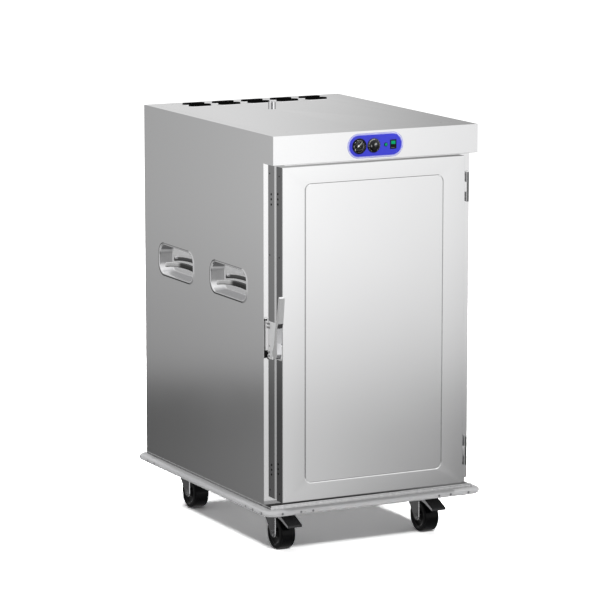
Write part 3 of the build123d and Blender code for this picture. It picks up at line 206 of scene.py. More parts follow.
# colour, roughness, fineness of the grain along x, y and z, how its tone varies, bump, how metallic
steelKeys = ("colour", "roughness", "grain", "vary", "bump", "metallic")
steels = {
    "panelSteel": ((0.83, 0.83, 0.835), 0.095, (420, 420, 420), 0.06, 0.03),
    "doorSteel": ((0.88, 0.88, 0.885), 0.12, (420, 420, 420), 0.06, 0.03),
    # painted shade: a dark copy of the door's steel for the door's side and back faces
    "doorSideShadeSteel": ((0.2, 0.2, 0.203), 0.11, (700, 700, 90), 0.08, 0.04),
    # painted shade: a dark copy of the steel for the door frame, the keep's bolt and the grips' shadow outline
    "frameSteel": ((0.37, 0.37, 0.373), 0.11, (700, 700, 90), 0.08, 0.04),
    # painted shade: a darker copy for the front of the frame beside the door's edge
    "stripSteel": ((0.5, 0.5, 0.503), 0.12, (700, 700, 90), 0.08, 0.04),
    "linerSteel": ((0.62, 0.62, 0.63), 0.25, (600, 600, 60), 0.06, 0.08),
    "baseSteel": ((0.86, 0.86, 0.865), 0.16, (75, 75, 6), 0.22, 0.03),
    # painted shade: near black steel for the base's ledge under the door, the channel behind the grips' bars
    # and the grips' outlines
    "ledgeSteel": ((0.1, 0.1, 0.102), 0.3, (60, 900, 900), 0.2, 0.05),
    "brightSteel": ((0.87, 0.87, 0.88), 0.1, (300, 300, 300), 0.03, 0.02),
    "cupSteel": ((0.84, 0.84, 0.847), 0.3, (260, 260, 260), 0.05, 0.03),
    # painted shade: a dark copy of the cups' steel for their upward floor faces
    "cupRampShadeSteel": ((0.4, 0.4, 0.405), 0.3, (260, 260, 260), 0.05, 0.03),
    # painted light: a brighter, less metallic copy of the cups' steel for their back walls
    "cupBackSteel": ((0.97, 0.97, 0.975), 0.42, (260, 260, 260), 0.04, 0.03, 0.8),
    "castMetal": ((0.95, 0.95, 0.955), 0.2, (500, 500, 500), 0.05, 0.05),
    "strikeSteel": ((0.95, 0.95, 0.955), 0.3, (500, 500, 500), 0.05, 0.05, 0.7),
    # painted shade: a dark copy of the steel for the hinges' faces away from the front and the latch lever's
    # downward facet
    "hingeShadeMetal": ((0.16, 0.16, 0.163), 0.24, (500, 500, 120), 0.1, 0.05),
    # zinc-plated steel, also used as painted shade on the front of the latch lever's neck and hub
    "zincSteel": ((0.72, 0.72, 0.735), 0.2, (250, 250, 250), 0.12, 0.06),
    # painted shade: a dark copy of the zinc steel for the forks' side plates
    "forkSideShadeSteel": ((0.24, 0.24, 0.245), 0.24, (250, 250, 250), 0.15, 0.06),
    # dark metal of the screws, also used for the painted reflection bands on the steam pipe
    "screwMetal": ((0.2, 0.2, 0.205), 0.3, (800, 800, 800), 0.1, 0.05),
    "heaterTube": ((0.3, 0.27, 0.25), 0.35, (200, 200, 200), 0.3, 0.1),
    "motorMetal": ((0.55, 0.55, 0.56), 0.35, (300, 300, 300), 0.1, 0.1),
}
plastics = {
    "bumperGrey": {"colour": (0.43, 0.43, 0.435), "roughness": 0.4, "vary": 0.05, "bump": 0.04},
    "blackHole": {"colour": (0.004, 0.004, 0.004), "roughness": 0.8, "specular": 0.0},
    "blackPlastic": {"colour": (0.003, 0.003, 0.0035), "roughness": 0.2, "bump": 0.02, "specular": 0.12},
    "knobBlack": {"colour": (0.002, 0.002, 0.0025), "roughness": 0.2, "bump": 0.01, "specular": 0.3},
    "wheelBlack": {"colour": (0.005, 0.005, 0.0055), "roughness": 0.3, "specular": 0.1},
    "tyreBlack": {"colour": (0.004, 0.004, 0.0045), "roughness": 0.2, "bump": 0.03,
                  "scale": 500.0, "specular": 0.12},
    "pedalBlack": {"colour": (0.006, 0.006, 0.0065), "roughness": 0.22, "specular": 0.3},
    "labelBlue": {"colour": (0.05, 0.056, 0.56), "roughness": 0.35, "vary": 0.04, "bump": 0.01,
                  "specular": 0.12},
    "lineWhite": {"colour": (0.93, 0.93, 0.95), "roughness": 0.4, "vary": 0.03, "bump": 0.01},
    "dialBlack": {"colour": (0.016, 0.016, 0.017), "roughness": 0.5, "bump": 0.02, "specular": 0.1},
    "needleWhite": {"colour": (0.9, 0.9, 0.9), "roughness": 0.4, "vary": 0.03},
    "greenLens": {"colour": (0.0, 0.2, 0.09), "roughness": 0.3, "specular": 0.12,
                  "glow": (0.0, 0.5, 0.2), "glowStrength": 0.28},
    "mineralWool": {"colour": (0.55, 0.48, 0.26), "roughness": 0.9, "vary": 0.4, "bump": 0.8,
                    "scale": 300.0, "specular": 0.1},
    "sealRubber": {"colour": (0.03, 0.03, 0.032), "roughness": 0.55, "bump": 0.1},
}
finishes = {name: brushedSteel(name, dict(zip(steelKeys, look))) for name, look in steels.items()}
finishes.update((name, moulded(name, look)) for name, look in plastics.items())
print("stage 2: finishes made,", len(finishes))


def meshPiece(name, points, faces, finish, body, slotName=None, stands=(), **extras):
    mesh = bpy.data.meshes.new(name)
    mesh.from_pydata([Vector(p) * mm for p in points], [], faces)
    bm = bmesh.new()
    bm.from_mesh(mesh)
    bmesh.ops.recalc_face_normals(bm, faces=bm.faces)
    bm.to_mesh(mesh)
    bm.free()
    return dressPiece(name, mesh, finish, body, slotName, stands, **extras)


def dressPiece(name, mesh, finish, body, slotName, stands, crease=32.0, smooth=True, mirrored=False):
    piece = addObject(name, mesh)
    piece.visible_glossy = mirrored      # the steel shows the studio, not the pieces beside it
    mesh.materials.append(finishes[finish])
    if smooth:
        mesh.shade_smooth()
        mesh.set_sharp_from_angle(angle=math.radians(crease))
        piece.modifiers.new("faceWeights", "WEIGHTED_NORMAL").keep_sharp = True
    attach(piece, body)
    if stands:
        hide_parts(*stands)
    return piece


def cornerLoop(width, height, radius, steps=8):
    # closed outline of a rounded rectangle round the origin
    radius = max(0.01, min(radius, width / 2, height / 2))
    points = []
    for sx, sy, begin in ((1, 1, 0), (-1, 1, 90), (-1, -1, 180), (1, -1, 270)):
        cx, cy = sx * (width / 2 - radius), sy * (height / 2 - radius)
        for step in range(steps + 1):
            angle = math.radians(begin + 90 * step / steps)
            points.append((cx + radius * math.cos(angle), cy + radius * math.sin(angle)))
    return points


def loftFaces(loopCount, pointCount, capFirst=False, capLast=False):
    faces = []
    for ring in range(loopCount - 1):
        for k in range(pointCount):
            a, b = ring * pointCount + k, ring * pointCount + (k + 1) % pointCount
            faces.append((a, b, b + pointCount, a + pointCount))
    if capFirst:
        faces.append(tuple(range(pointCount))[::-1])
    if capLast:
        start = (loopCount - 1) * pointCount
        faces.append(tuple(range(start, start + pointCount)))
    return faces


def gather(parts, loops, capFirst=False, capLast=False):
    # adds one loft to a pair of point and face lists
    points, faces = parts
    base = len(points)
    points += [p for loop in loops for p in loop]
    for face in loftFaces(len(loops), len(loops[0]), capFirst, capLast):
        faces.append(tuple(base + i for i in face))


def circle(radius, steps):
    turns = [2 * math.pi * k / steps for k in range(steps)]
    return [(radius * math.cos(angle), radius * math.sin(angle)) for angle in turns]


def loftPiece(name, loops, finish, body, slotName, stands=(), capFirst=False, capLast=False, **extras):
    parts = ([], [])
    gather(parts, loops, capFirst, capLast)
    return meshPiece(name, *parts, finish, body, slotName, stands, **extras)


def turned(name, start, direction, profile, finish, body, slotName, stands=(), steps=64, **extras):
    # a piece turned round an axis: the profile holds pairs of distance along the axis and radius
    axis = Vector(direction).normalized()
    side = axis.orthogonal().normalized()
    other = axis.cross(side)
    loops = []
    for along, radius in profile:
        middle = Vector(start) + axis * along
        loops.append([middle + side * u + other * v for u, v in circle(max(radius, 0.01), steps)])
    closed = [profile[end][1] < 0.1 for end in (0, -1)]
    return loftPiece(name, loops, finish, body, slotName, stands, *closed, **extras)


cleanUp = {"merge": 0.00002, "flat": 0.6}      # metres and degrees within which points and faces are joined


def softened(name, nodeName, finish, width, slotName,
             segments=3, crease=34.0, shadeCrease=50.0, mirrored=False):
    # the node's own shape, cleaned, and where there is a width with its sheet edges rounded
    source = cadNodes[nodeName]
    bm = bmesh.new()
    bm.from_mesh(source.data)
    bmesh.ops.remove_doubles(bm, verts=bm.verts, dist=cleanUp["merge"])
    if width > 0:
        flat = math.radians(cleanUp["flat"])
        bmesh.ops.dissolve_limit(bm, angle_limit=flat, verts=bm.verts, edges=bm.edges)
        sharp = [edge for edge in bm.edges if edge.calc_face_angle(0.0) > math.radians(crease)]
        bmesh.ops.bevel(bm, geom=sharp, offset=width * mm, offset_type="OFFSET", segments=segments,
                        profile=0.5, affect="EDGES", clamp_overlap=True)
    mesh = bpy.data.meshes.new(name)
    bm.to_mesh(mesh)
    bm.free()
    return dressPiece(name, mesh, finish, source["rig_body"], slotName, (nodeName,),
                      crease=shadeCrease, mirrored=mirrored)


def paintFaces(piece, finish, chosen):
    # a second finish on the faces that the test picks, by normal and centre
    piece.data.materials.append(finishes[finish])
    index = len(piece.data.materials) - 1
    for face in piece.data.polygons:
        if chosen(face.normal, face.center / mm):
            face.material_index = index


def splitAt(piece, x):
    # an edge across every face at this x, so that each side of it can have a finish
    bm = bmesh.new()
    bm.from_mesh(piece.data)
    everything = bm.verts[:] + bm.edges[:] + bm.faces[:]
    bmesh.ops.bisect_plane(bm, geom=everything, plane_co=(x * mm, 0, 0), plane_no=(1, 0, 0))
    bm.to_mesh(piece.data)
    bm.free()


def paintNode(nodeName, finish):
    mesh = cadNodes[nodeName].data
    mesh.materials.clear()
    mesh.materials.append(finishes[finish])


# sheets, strips and wool: piece, node, finish, how far the edges are rounded, slot
sheets = {}
for name, nodeName, finish, width, slotName in (
    ("leftSide", "left_side_panel", "panelSteel", 0.8, "body_steel"),
    ("rightSide", "right_side_panel", "panelSteel", 0.8, "body_steel"),
    ("rearSheet", "rear_panel", "panelSteel", 0.5, "body_steel"),
    ("topCover", "top_cover", "panelSteel", 0.0, "body_steel"),
    ("frontFlange", "front_flange", "doorSteel", 0.5, "body_steel"),
    ("fasciaBox", "control_fascia", "panelSteel", 1.2, "body_steel"),
    ("doorFrame", "door_frame", "frameSteel", 1.2, "frame_steel"),
    ("basePan", "base_plate", "baseSteel", 1.2, "base_steel"),
    ("bumperRails", "bumper_rails", "bumperGrey", 0.0, "bumper_grey"),
    ("bumperCorners", "bumper_corners", "bumperGrey", 0.0, "bumper_grey"),
    ("woolSides", "insulation_sides", "mineralWool", 0.0, "insulation"),
    ("woolPanels", "insulation_panels", "mineralWool", 0.0, "insulation"),
    ("doorWool", "door_insulation", "mineralWool", 0.0, "insulation"),
    ("doorLining", "door_inner_panel", "linerSteel", 0.0, "liner_steel"),
    ("doorSeal", "door_gasket", "sealRubber", 0.0, "gasket_rubber"),
):
    sheets[name] = softened(name, nodeName, finish, width, slotName, mirrored=name == "basePan")
stripEdge = -300.0      # left of this the front of the frame is darker, as painted shade
splitAt(sheets["doorFrame"], stripEdge)
for name, finish, chosen in (
    ("fasciaBox", "doorSteel", lambda normal, centre: normal.y < -0.5),
    ("doorFrame", "doorSteel", lambda normal, centre: normal.y < -0.95 and centre.x > stripEdge),
    ("doorFrame", "stripSteel", lambda normal, centre: normal.y < -0.95 and centre.x < stripEdge),
    # painted shade: the base's upward faces dark, as the ledge in shade under the door
    ("basePan", "ledgeSteel", lambda normal, centre: normal.z > 0.8),
):
    paintFaces(sheets[name], finish, chosen)
print("stage 3: cabinet body made")

doorPanel = {
    "backEdge": ((1.5, 0.4), (0.0, 0.8)),      # inset and corner radius of the fold behind the front
    "bend": 2.0,                               # radius of the fold round the front
    "grooveInset": (74.5, 52.0),
    "grooveCorner": 22.0,
    "grooveWidth": 4.6,
    "grooveDepth": 1.4,
    "grooveSteps": (0.0, 0.08, 0.2, 0.35, 0.5, 0.65, 0.8, 0.92, 1.0),
    "grooveRound": 1.2,
}


def buildDoor(look):
    x, z = cabinet["doorX"], cabinet["doorZ"]
    cx, cz = sum(x) / 2, sum(z) / 2
    width, height = x[1] - x[0], z[1] - z[0]
    face, back = [fromFront(-out) for out in cabinet["doorOut"]]
    loops = []

    def ring(inset, y, radius, insetHigh=None):
        high = inset if insetHigh is None else insetHigh
        outline = cornerLoop(width - 2 * inset, height - 2 * high, radius)
        loops.append([(cx + u, y, cz + v) for u, v in outline])

    for inset, radius in look["backEdge"]:
        ring(inset, back, radius)
    bend = look["bend"]
    for step in range(5):
        angle = math.radians(90 * step / 4)
        ring(bend * (1 - math.cos(angle)), face + bend * (1 - math.sin(angle)), 1.0)
    gx, gz = look["grooveInset"]
    w, d, r = look["grooveWidth"], look["grooveDepth"], look["grooveCorner"]
    for share in look["grooveSteps"]:
        sink = d * math.sin(math.pi * share) ** look["grooveRound"]
        ring(gx + w * share, face + sink, r - w * share, gz + w * share)
    skin = loftPiece("doorSkin", loops, "doorSteel", "door", "door_steel", ("door_skin",),
                     capLast=True, crease=40.0)
    # painted shade: the door's side and back faces darker than its front
    paintFaces(skin, "doorSideShadeSteel", lambda normal, centre: normal.y > -0.45)


buildDoor(doorPanel)
print("stage 4: door made")

gripCups = {
    "mouth": (250.0, 94.0, 35.0),  # length, height and corner radius
    "floor": (218.0, 80.0, 24.0),
    "places": (243.0, 623.5),      # the cups' middles behind the flange
    "height": 653.5,
    "depth": 40.0,
    "bend": 6.0,                   # radius where the walls run into the floor
    "draft": 0.72,                 # how much of the narrowing the straight walls take
    "rim": 3.0,                    # width of the rolled rim on the panel
    "rimRise": 0.9,
    "outline": 3.4,                # width of the dark shadow line round the rim
    "stretch": 1.7,                # both are wider at the cup's ends
    "darkest": 60.0,               # where the outline is darkest, and how far each tone reaches
    "outlineTones": (("frameSteel", 90.0), ("ledgeSteel", 55.0)),
    "shade": (-6.0, 6.5),          # the pressed channel behind the bar, painted dark as the bar's shadow, and its loops' inset and lift
    "shadeSteps": ((0.0, 0.3), (1.5, 0.9), (4.0, 1.2)),
    "stud": (73.0, 6.0, 5.2),
    "studSteps": ((39.0, 1.0), (33.0, 1.0), (31.6, 0.86), (31.0, 0.55), (31.4, 0.3), (32.0, 0.0096)),
    "bar": (                       # depth and height round the bar's section
        (17.5, -24.0), (16.3, -22.5), (16.0, -21.0), (16.0, -12.0), (16.4, -10.6), (17.6, -9.4), (19.0, -8.9),
        (26.0, -8.7), (28.0, -10.0), (28.6, -12.0), (28.6, -20.5), (27.0, -23.0), (23.0, -24.2),
    ),
    "barReach": 104.0,
    "barSteps": ((1.1, 1.2), (1.04, 1.08), (0.97, 1.0), (0.8, 1.0), (0.55, 1.0), (0.28, 1.0)),
    "barMiddle": 22.0,             # depth that the bar's ends grow round
    "arch": 8.0,                   # how much the middle of the bar and of its channel stands over the ends
    "tilt": 0.05,                  # and how much they rise towards the front
}


def buildGrips(look):
    width, height, radius = look["mouth"]
    floorWidth, floorHeight, floorRadius = look["floor"]
    depth, bend, draft = look["depth"], look["bend"], look["draft"]
    rim, wide, rise, stretch = look["rim"], look["outline"], look["rimRise"], look["stretch"]
    level = fromBottom(look["height"])
    parts = {kind: ([], []) for kind in ("cup", "back", "bar", "shade", "stud", "lip", "edge")}

    def bow(share, along):
        return look["arch"] * (1 - share ** 2) - look["tilt"] * along

    for side in (-1, 1):
        for place in look["places"]:
            middle = fromFront(place)

            def at(along, up, deep):
                return (side * (cabinet["halfWidth"] - deep), middle + along, level + up)

            def ring(w, h, r, deep):
                return [at(u, v, deep) for u, v in cornerLoop(w, h, r, 10)]

            def rimRing(k, lift):
                return ring(width + 2 * k * stretch, height + 2 * k, radius + k, -lift * rise)

            def wallRing(share, deep):
                # a loop of the wall, at its share of the way from the mouth to the floor
                return ring(width - 0.6 - (width - floorWidth) * share,
                            height - 0.6 - (height - floorHeight) * share,
                            radius - (radius - floorRadius) * share, deep)

            edge = ((rim + wide, 0.02), (rim + wide * 0.9, 0.12), (rim + wide * 0.1, 0.3), (rim, 0.5))
            lip = ((rim, 0.5), (rim * 0.7, 0.9), (rim * 0.35, 1.0), (0.0, 0.6), (-0.3, -0.4), (-0.9, -3.0))
            gather(parts["edge"], [rimRing(*step) for step in edge])
            gather(parts["lip"], [rimRing(*step) for step in lip])
            # straight walls with a little draft, then a round bend into the floor
            loops = []
            for step in range(7):
                deep = 2.0 + (depth - bend - 2.0) * step / 6
                loops.append(wallRing(draft * deep / (depth - bend), deep))
            for step in range(1, 7):
                angle = math.radians(90 * step / 6)
                share = draft + (1 - draft) * (1 - math.cos(angle))
                loops.append(wallRing(share, depth - bend + bend * math.sin(angle)))
            gather(parts["cup"], loops)
            gather(parts["back"], [
                ring(floorWidth - 0.6, floorHeight - 0.6, floorRadius, depth),
                ring(floorWidth - 40, floorHeight - 40, floorRadius - 6, depth - 0.4),
            ], capLast=True)
            # the channel behind the bar, painted dark as the bar's shadow: round ends, and more points along
            # its long sides
            low, high = look["shade"]
            loops = []
            for shrink, lift in look["shadeSteps"]:
                corners = cornerLoop(floorWidth - 14 - 2 * shrink, high - low - 2 * shrink, (high - low) / 2, 8)
                outline = []
                for a, b in zip(corners, corners[1:] + corners[:1]):
                    for k in range(8 if abs(b[0] - a[0]) > 60 else 1):
                        outline.append((a[0] + (b[0] - a[0]) * k / 8, a[1] + (b[1] - a[1]) * k / 8))
                loops.append([at(u, (low + high) / 2 + v + bow(u / (floorWidth / 2), u), depth - lift)
                              for u, v in outline])
            gather(parts["shade"], loops, capLast=True)
            # the bar, its ends drawn out to the walls
            reach, core = look["barReach"], look["barMiddle"]
            loops = []
            for along, grow in (*[(-a, g) for a, g in look["barSteps"]], (0.0, 1.0), *look["barSteps"][::-1]):
                lift = bow(along * 0.92, along * reach)
                loops.append([at(along * reach, v + lift, core + (deep - core) * grow)
                              for deep, v in look["bar"]])
            gather(parts["bar"], loops, True, True)
            along, up, r = look["stud"]
            for end in (-1, 1):
                loops = [[at(end * along + u, up + v, deep) for u, v in circle(r * share, 24)]
                         for deep, share in look["studSteps"]]
                gather(parts["stud"], loops, capLast=True)
    made = {}
    for kind, name, finish, stands, crease in (
        ("cup", "gripCups", "cupSteel", ("handle_cups",), 50.0),
        ("lip", "gripLips", "brightSteel", (), 60.0),
        ("edge", "gripOutlines", "panelSteel", (), 60.0),
        ("back", "gripCupBacks", "cupBackSteel", (), 50.0),
        ("shade", "gripShadeChannels", "ledgeSteel", (), 60.0),
        ("stud", "gripStuds", "brightSteel", (), 40.0),
        ("bar", "gripBars", "barSteel", ("handle_grips",), 28.0),
    ):
        made[kind] = meshPiece(name, *parts[kind], finish, "root", "bright_chrome", stands, crease=crease)
    # painted shade: the cup's upward faces darker
    paintFaces(made["cup"], "cupRampShadeSteel", lambda normal, centre: normal.z > 0.45)
    darkest = [fromFront(place) + look["darkest"] for place in look["places"]]
    for finish, reach in look["outlineTones"]:
        paintFaces(made["edge"], finish,
                   lambda normal, centre: min(abs(centre.y - spot) for spot in darkest) < reach)


def paintedReflectionBar(name, look):
    # polished bar with a painted dark reflection that darkens it from its rear end to its front end
    material = brushedSteel(name, look)
    tree = material.node_tree
    axes = addNode(tree, "ShaderNodeSeparateXYZ")
    tree.links.new(objectPlace(tree), axes.inputs["Vector"])
    mixed = None
    for middle in look["middles"]:
        away = calc(tree, "SUBTRACT", axes.outputs["Y"], middle * mm)
        fall = sweep(tree, away, *look["fade"], look["dark"], 1.0)
        near = sweep(tree, calc(tree, "ABSOLUTE", away), *look["hold"], 1.0, 0.0)
        level = calc(tree, "MULTIPLY", fall, near)
        mixed = level if mixed is None else calc(tree, "ADD", mixed, level)
    tone = calc(tree, "MULTIPLY", mixed, look["colour"][0])
    greyColour(tree, tone, tree.nodes["Principled BSDF"].inputs["Base Color"])
    return material


finishes["barSteel"] = paintedReflectionBar("barSteel", {
    "colour": (0.86, 0.86, 0.87), "roughness": 0.22, "grain": (300, 300, 300), "vary": 0.03, "bump": 0.02,
    "middles": [fromFront(place) for place in gripCups["places"]],
    "fade": (-0.004, 0.03),        # metres from the bar's middle over which it turns light
    "hold": (0.16, 0.17),          # and how far the bar reaches
    "dark": 0.03,
})
buildGrips(gripCups)
print("stage 5: hand grips made")

airSlots = {
    "pitch": 104.0,
    "length": 76.0,
    "rows": ((742.0, 30.0), (790.0, 22.0)),      # behind the flange, and width
    "rim": 2.2,
    "rise": 1.6,
    "collar": 6.0,            # how far the black collar in the rim stands over the top; collar and well are painted shade
    "wellDepth": 14.0,
}


def buildAirSlots(look):
    rims, wells = ([], []), ([], [])
    top = fromBottom(cabinet["height"])
    rim, rise, collar, well = look["rim"], look["rise"], look["collar"], look["wellDepth"]
    # how far each loop stands outside the slot and over the top
    rimSteps = ((rim, 0.02), (rim * 0.7, rise * 0.8), (rim * 0.35, rise), (0.0, rise * 0.7), (-0.2, rise * 0.3))
    wellSteps = ((-0.2, 0.1), (-0.3, collar - 0.5), (-0.7, collar), (-1.6, collar - 0.3), (-2.0, -well))
    for index in range(5):
        x = look["pitch"] * (index - 2)
        for behind, width in look["rows"]:
            y = fromFront(behind)
            for parts, steps in ((rims, rimSteps), (wells, wellSteps)):
                loops = []
                for grow, up in steps:
                    outline = cornerLoop(look["length"] + 2 * grow, width + 2 * grow, width, 10)
                    loops.append([(x + u, y + v, top + up) for u, v in outline])
                gather(parts, loops, capLast=parts is wells)
    meshPiece("airSlotRims", *rims, "brightSteel", "root", "body_steel")
    # painted shade: black wells in the slots, standing in for the dark inside
    meshPiece("airSlotShadeWells", *wells, "blackHole", "root", "body_steel")


buildAirSlots(airSlots)

steamPipe = {"place": (-37.0, fromFront(570.0)), "radius": 11.5, "bore": 9.5, "foot": 1150.0, "top": 1319.0}


def buildPipe(look):
    radius, bore, foot, top = look["radius"], look["bore"], look["foot"], look["top"]
    profile = [(foot, bore), (foot, radius), (top - 0.8, radius), (top - 0.2, radius - 0.4),
               (top, radius - 1.0), (top - 0.4, bore), (foot, bore)]
    pipe = turned("steamPipe", (*look["place"], 0.0), (0, 0, 1), profile,
                  "brightSteel", "root", "bright_chrome", ("steam_vent_pipe",), crease=12.0)
    reflectionBandAim = Vector((-0.45, -0.89, 0))          # painted reflection: the dark bands lie round this side of the tube
    paintFaces(pipe, "screwMetal", lambda normal, centre: abs(normal.z) < 0.5 and (
        normal.dot(reflectionBandAim) > 0.985 or normal.dot(reflectionBandAim) < 0.62))


buildPipe(steamPipe)
print("stage 6: top made")

controls = {
    "label": (190.0, 75.0, -5.5),            # length, height and the place of its middle
    "lines": ((1.5, 1.4), (4.4, 0.6)),       # how far each white line stands in, and its width
    "gauge": (-61.0, 23.5),
    "gaugeTicks": (25, 225, 270, 17.6),      # how many, from and over how many degrees, at what radius
    "needleSlim": 0.7,
    "needleHub": 4.0,
    "knob": (-12.0, 21.5),
    "knobTicks": (13, 235, 290, 19.6, 17.4),
    "knobLean": 55.0,
    "knobDome": (                            # distance from the label, length and width of the dome's loops
        (5.4, 34.0, 32.0), (8.0, 33.6, 31.4), (11.0, 32.4, 30.0), (13.8, 29.8, 27.0),
        (16.2, 25.6, 22.6), (18.0, 19.6, 16.8), (19.0, 12.6, 10.4), (19.4, 5.0, 4.0),
    ),
    "lamp": (30.0, 4.5),
}
labelFace = fromFront(-cabinet["labelOut"])


def onFascia(x, z, y=labelFace):
    return (x, y, cabinet["controlHeight"] + z)


def tickMarks(parts, middle, count, begin, spread, shape, layers):
    # flat marks in a ring: the shape gives each one's outer and inner radius and half its width
    for tick in range(count):
        angle = math.radians(begin - spread * tick / (count - 1))
        out = Vector((math.cos(angle), 0, math.sin(angle)))
        across = Vector((-math.sin(angle), 0, math.cos(angle)))
        outer, inner, wide = shape(tick)
        corners = [Vector(middle) + out * r + across * s
                   for r, s in ((outer, -wide), (outer, wide), (inner, wide), (inner, -wide))]
        loops = [[tuple(c + Vector((0, lift, 0))) for c in corners] for lift in layers]
        gather(parts, loops, capFirst=len(layers) > 1, capLast=True)


def buildLabel(look):
    width, height, middle = look["label"]
    softened("labelPlate", "control_label", "labelBlue", 0.15, "label_blue", segments=2)
    for number, (inset, thick) in enumerate(look["lines"]):
        loops = []
        for grow, rise in ((0.0, 0.02), (0.0, 0.14), (thick, 0.14), (thick, 0.02)):
            reach = inset + grow
            outline = cornerLoop(width - 2 * reach, height - 2 * reach, height, 20)
            loops.append([onFascia(middle + u, v, labelFace - rise) for u, v in outline])
        loftPiece("labelLine" + "AB"[number], loops, "lineWhite", "root", "label_blue")


def buildGauge(look):
    # bezel with a rolled rim, dial, ticks and needle
    x, r = look["gauge"]
    middle, outwards = onFascia(x, 0), (0, -1, 0)
    bezel = [(-22.0, 0.0), (-22.0, 20.5), (0.0, 20.5), (0.0, r), (2.6, r), (3.8, r - 0.5), (4.4, r - 1.4),
             (4.5, r - 2.4), (4.1, r - 3.3), (3.0, r - 3.9), (-3.0, r - 4.1), (-3.6, 0.0)]
    turned("gaugeBezel", middle, outwards, bezel, "blackPlastic", "root", "black_plastic", ("gauge_body",))
    dial = [(-3.4, 19.4), (-3.1, 19.2), (-3.1, 0.0)]
    turned("gaugeDial", middle, outwards, dial, "dialBlack", "root", "black_plastic")
    count, begin, spread, radius = look["gaugeTicks"]
    marks = ([], [])
    small, large = (radius, radius - 1.7, 0.24), (radius, radius - 3.0, 0.42)
    tickMarks(marks, middle, count, begin, spread, lambda tick: small if tick % 4 else large, (3.0, 2.94))
    meshPiece("gaugeTicks", *marks, "lineWhite", "root", "needle_white", smooth=False)
    needle = softened("gaugeNeedle", "gauge_needle", "needleWhite", 0.12, "needle_white", segments=2)
    hub = Vector(middle) * mm
    points = needle.data.vertices
    tip = max((v.co - hub for v in points), key=lambda away: Vector((away.x, 0, away.z)).length)
    across = Vector((-tip.z, 0, tip.x)).normalized()
    for v in points:
        aside = (v.co - hub).dot(across)
        if (v.co - hub).length > look["needleHub"] * mm:
            v.co -= across * aside * look["needleSlim"]      # a slimmer hand, its hub as it is


def buildKnob(look):
    # a flat skirt with white marks, and a leaning oval dome
    x, r = look["knob"]
    skirt = ((0.4, r - 0.8), (0.9, r), (3.2, r), (4.4, r - 0.6), (5.1, r - 1.8), (5.35, r - 3.6))
    loops = [[onFascia(x + u, v, labelFace - out) for u, v in circle(size, 72)] for out, size in skirt]
    lean = math.radians(look["knobLean"])
    for out, long, wide in look["knobDome"]:
        loops.append([])
        for k in range(72):
            angle = 2 * math.pi * k / 72
            u, v = long / 2 * math.cos(angle - lean), wide / 2 * math.sin(angle - lean)
            loops[-1].append(onFascia(x + u * math.cos(lean) - v * math.sin(lean),
                                      u * math.sin(lean) + v * math.cos(lean), labelFace - out))
    loftPiece("knobTurned", loops, "knobBlack", "knob", "black_plastic", ("thermostat_knob",),
              capFirst=True, capLast=True, crease=45.0)
    shaft = [(-14.0, 0.0), (-14.0, 2.9), (0.5, 2.9)]
    turned("knobShaft", onFascia(x, 0), (0, -1, 0), shaft, "castMetal", "knob", "black_plastic", steps=24)
    count, begin, spread, outer, inner = look["knobTicks"]
    marks = ([], [])
    tickMarks(marks, onFascia(x, 0), count, begin, spread, lambda tick: (outer, inner, 0.3), (-5.36,))
    meshPiece("knobTicks", *marks, "lineWhite", "knob", "black_plastic", smooth=False)


def buildLamp(look):
    x, r = look["lamp"]
    middle, outwards = onFascia(x, 0), (0, -1, 0)
    rim = [(-22.0, 0.0), (-22.0, r), (0.0, r), (0.0, r + 1.8), (0.9, r + 1.7), (1.4, r + 1.2), (1.5, r + 0.4),
           (1.2, r - 0.1)]
    turned("lampRim", middle, outwards, rim, "blackPlastic", "root", "black_plastic", ("indicator_lamp",))
    lens = [(1.0, r), (1.9, r - 0.2), (2.8, r - 1.1), (3.4, r - 2.4), (3.7, 0.0)]
    turned("lampLens", middle, outwards, lens, "greenLens", "root", "green_lens")


for build in (buildLabel, buildGauge, buildKnob, buildLamp):
    build(controls)
softened("rockerBezel", "rocker_bezel", "blackPlastic", 0.6, "black_plastic")
rocker = softened("rockerButton", "rocker_button", "blackPlastic", 1.0, "green_lens")
greenFrom = cabinet["controlHeight"] - 1.0
paintFaces(rocker, "greenLens", lambda normal, centre: normal.y < -0.3 and centre.z > greenFrom)
print("stage 7: controls made")

latch = {"facet": 550.0, "neck": 560.0}      # heights at which the lever's finishes change
lever = softened("latchLever", "latch_lever", "castMetal", 1.2, "latch_metal",
                 segments=2, crease=8.0, shadeCrease=7.0)
facetFrom, neckTo = fromBottom(latch["facet"]), fromBottom(latch["neck"])
# painted shade: the lever's downward facet and the front of its neck and hub darker than its grip
paintFaces(lever, "hingeShadeMetal", lambda normal, centre: normal.z < -0.4 and centre.z > facetFrom)
paintFaces(lever, "zincSteel", lambda normal, centre: normal.y < -0.5 and centre.z < neckTo)
softened("latchHousing", "latch_housing", "castMetal", 0.6, "latch_metal")
strike = softened("strikePlate", "strike_plate", "strikeSteel", 0.4, "frame_steel")

hingePin = {
    "x": 310.0,
    "behind": -73.0,
    "barrel": (6.0, 7.8),          # radii between which a point belongs to the barrel
    "slim": 0.36,                  # the barrels are drawn in by this share
    "leafFront": -50.0,            # faces behind this, and those left of the next, look like the door; the rest are painted dark as shade
    "leafSide": 307.5,
}


def dressHinge(hinge, look):
    low, high = [radius * mm for radius in look["barrel"]]
    for v in hinge.data.vertices:
        away = Vector((v.co.x - look["x"] * mm, v.co.y - fromFront(look["behind"]) * mm))
        if low < away.length < high:
            v.co.x -= away.x * look["slim"]
            v.co.y -= away.y * look["slim"]
    front, side = fromFront(look["leafFront"]), look["leafSide"]
    paintFaces(hinge, "doorSteel",
               lambda normal, centre: normal.y < -0.9 and centre.y > front or centre.x < side)


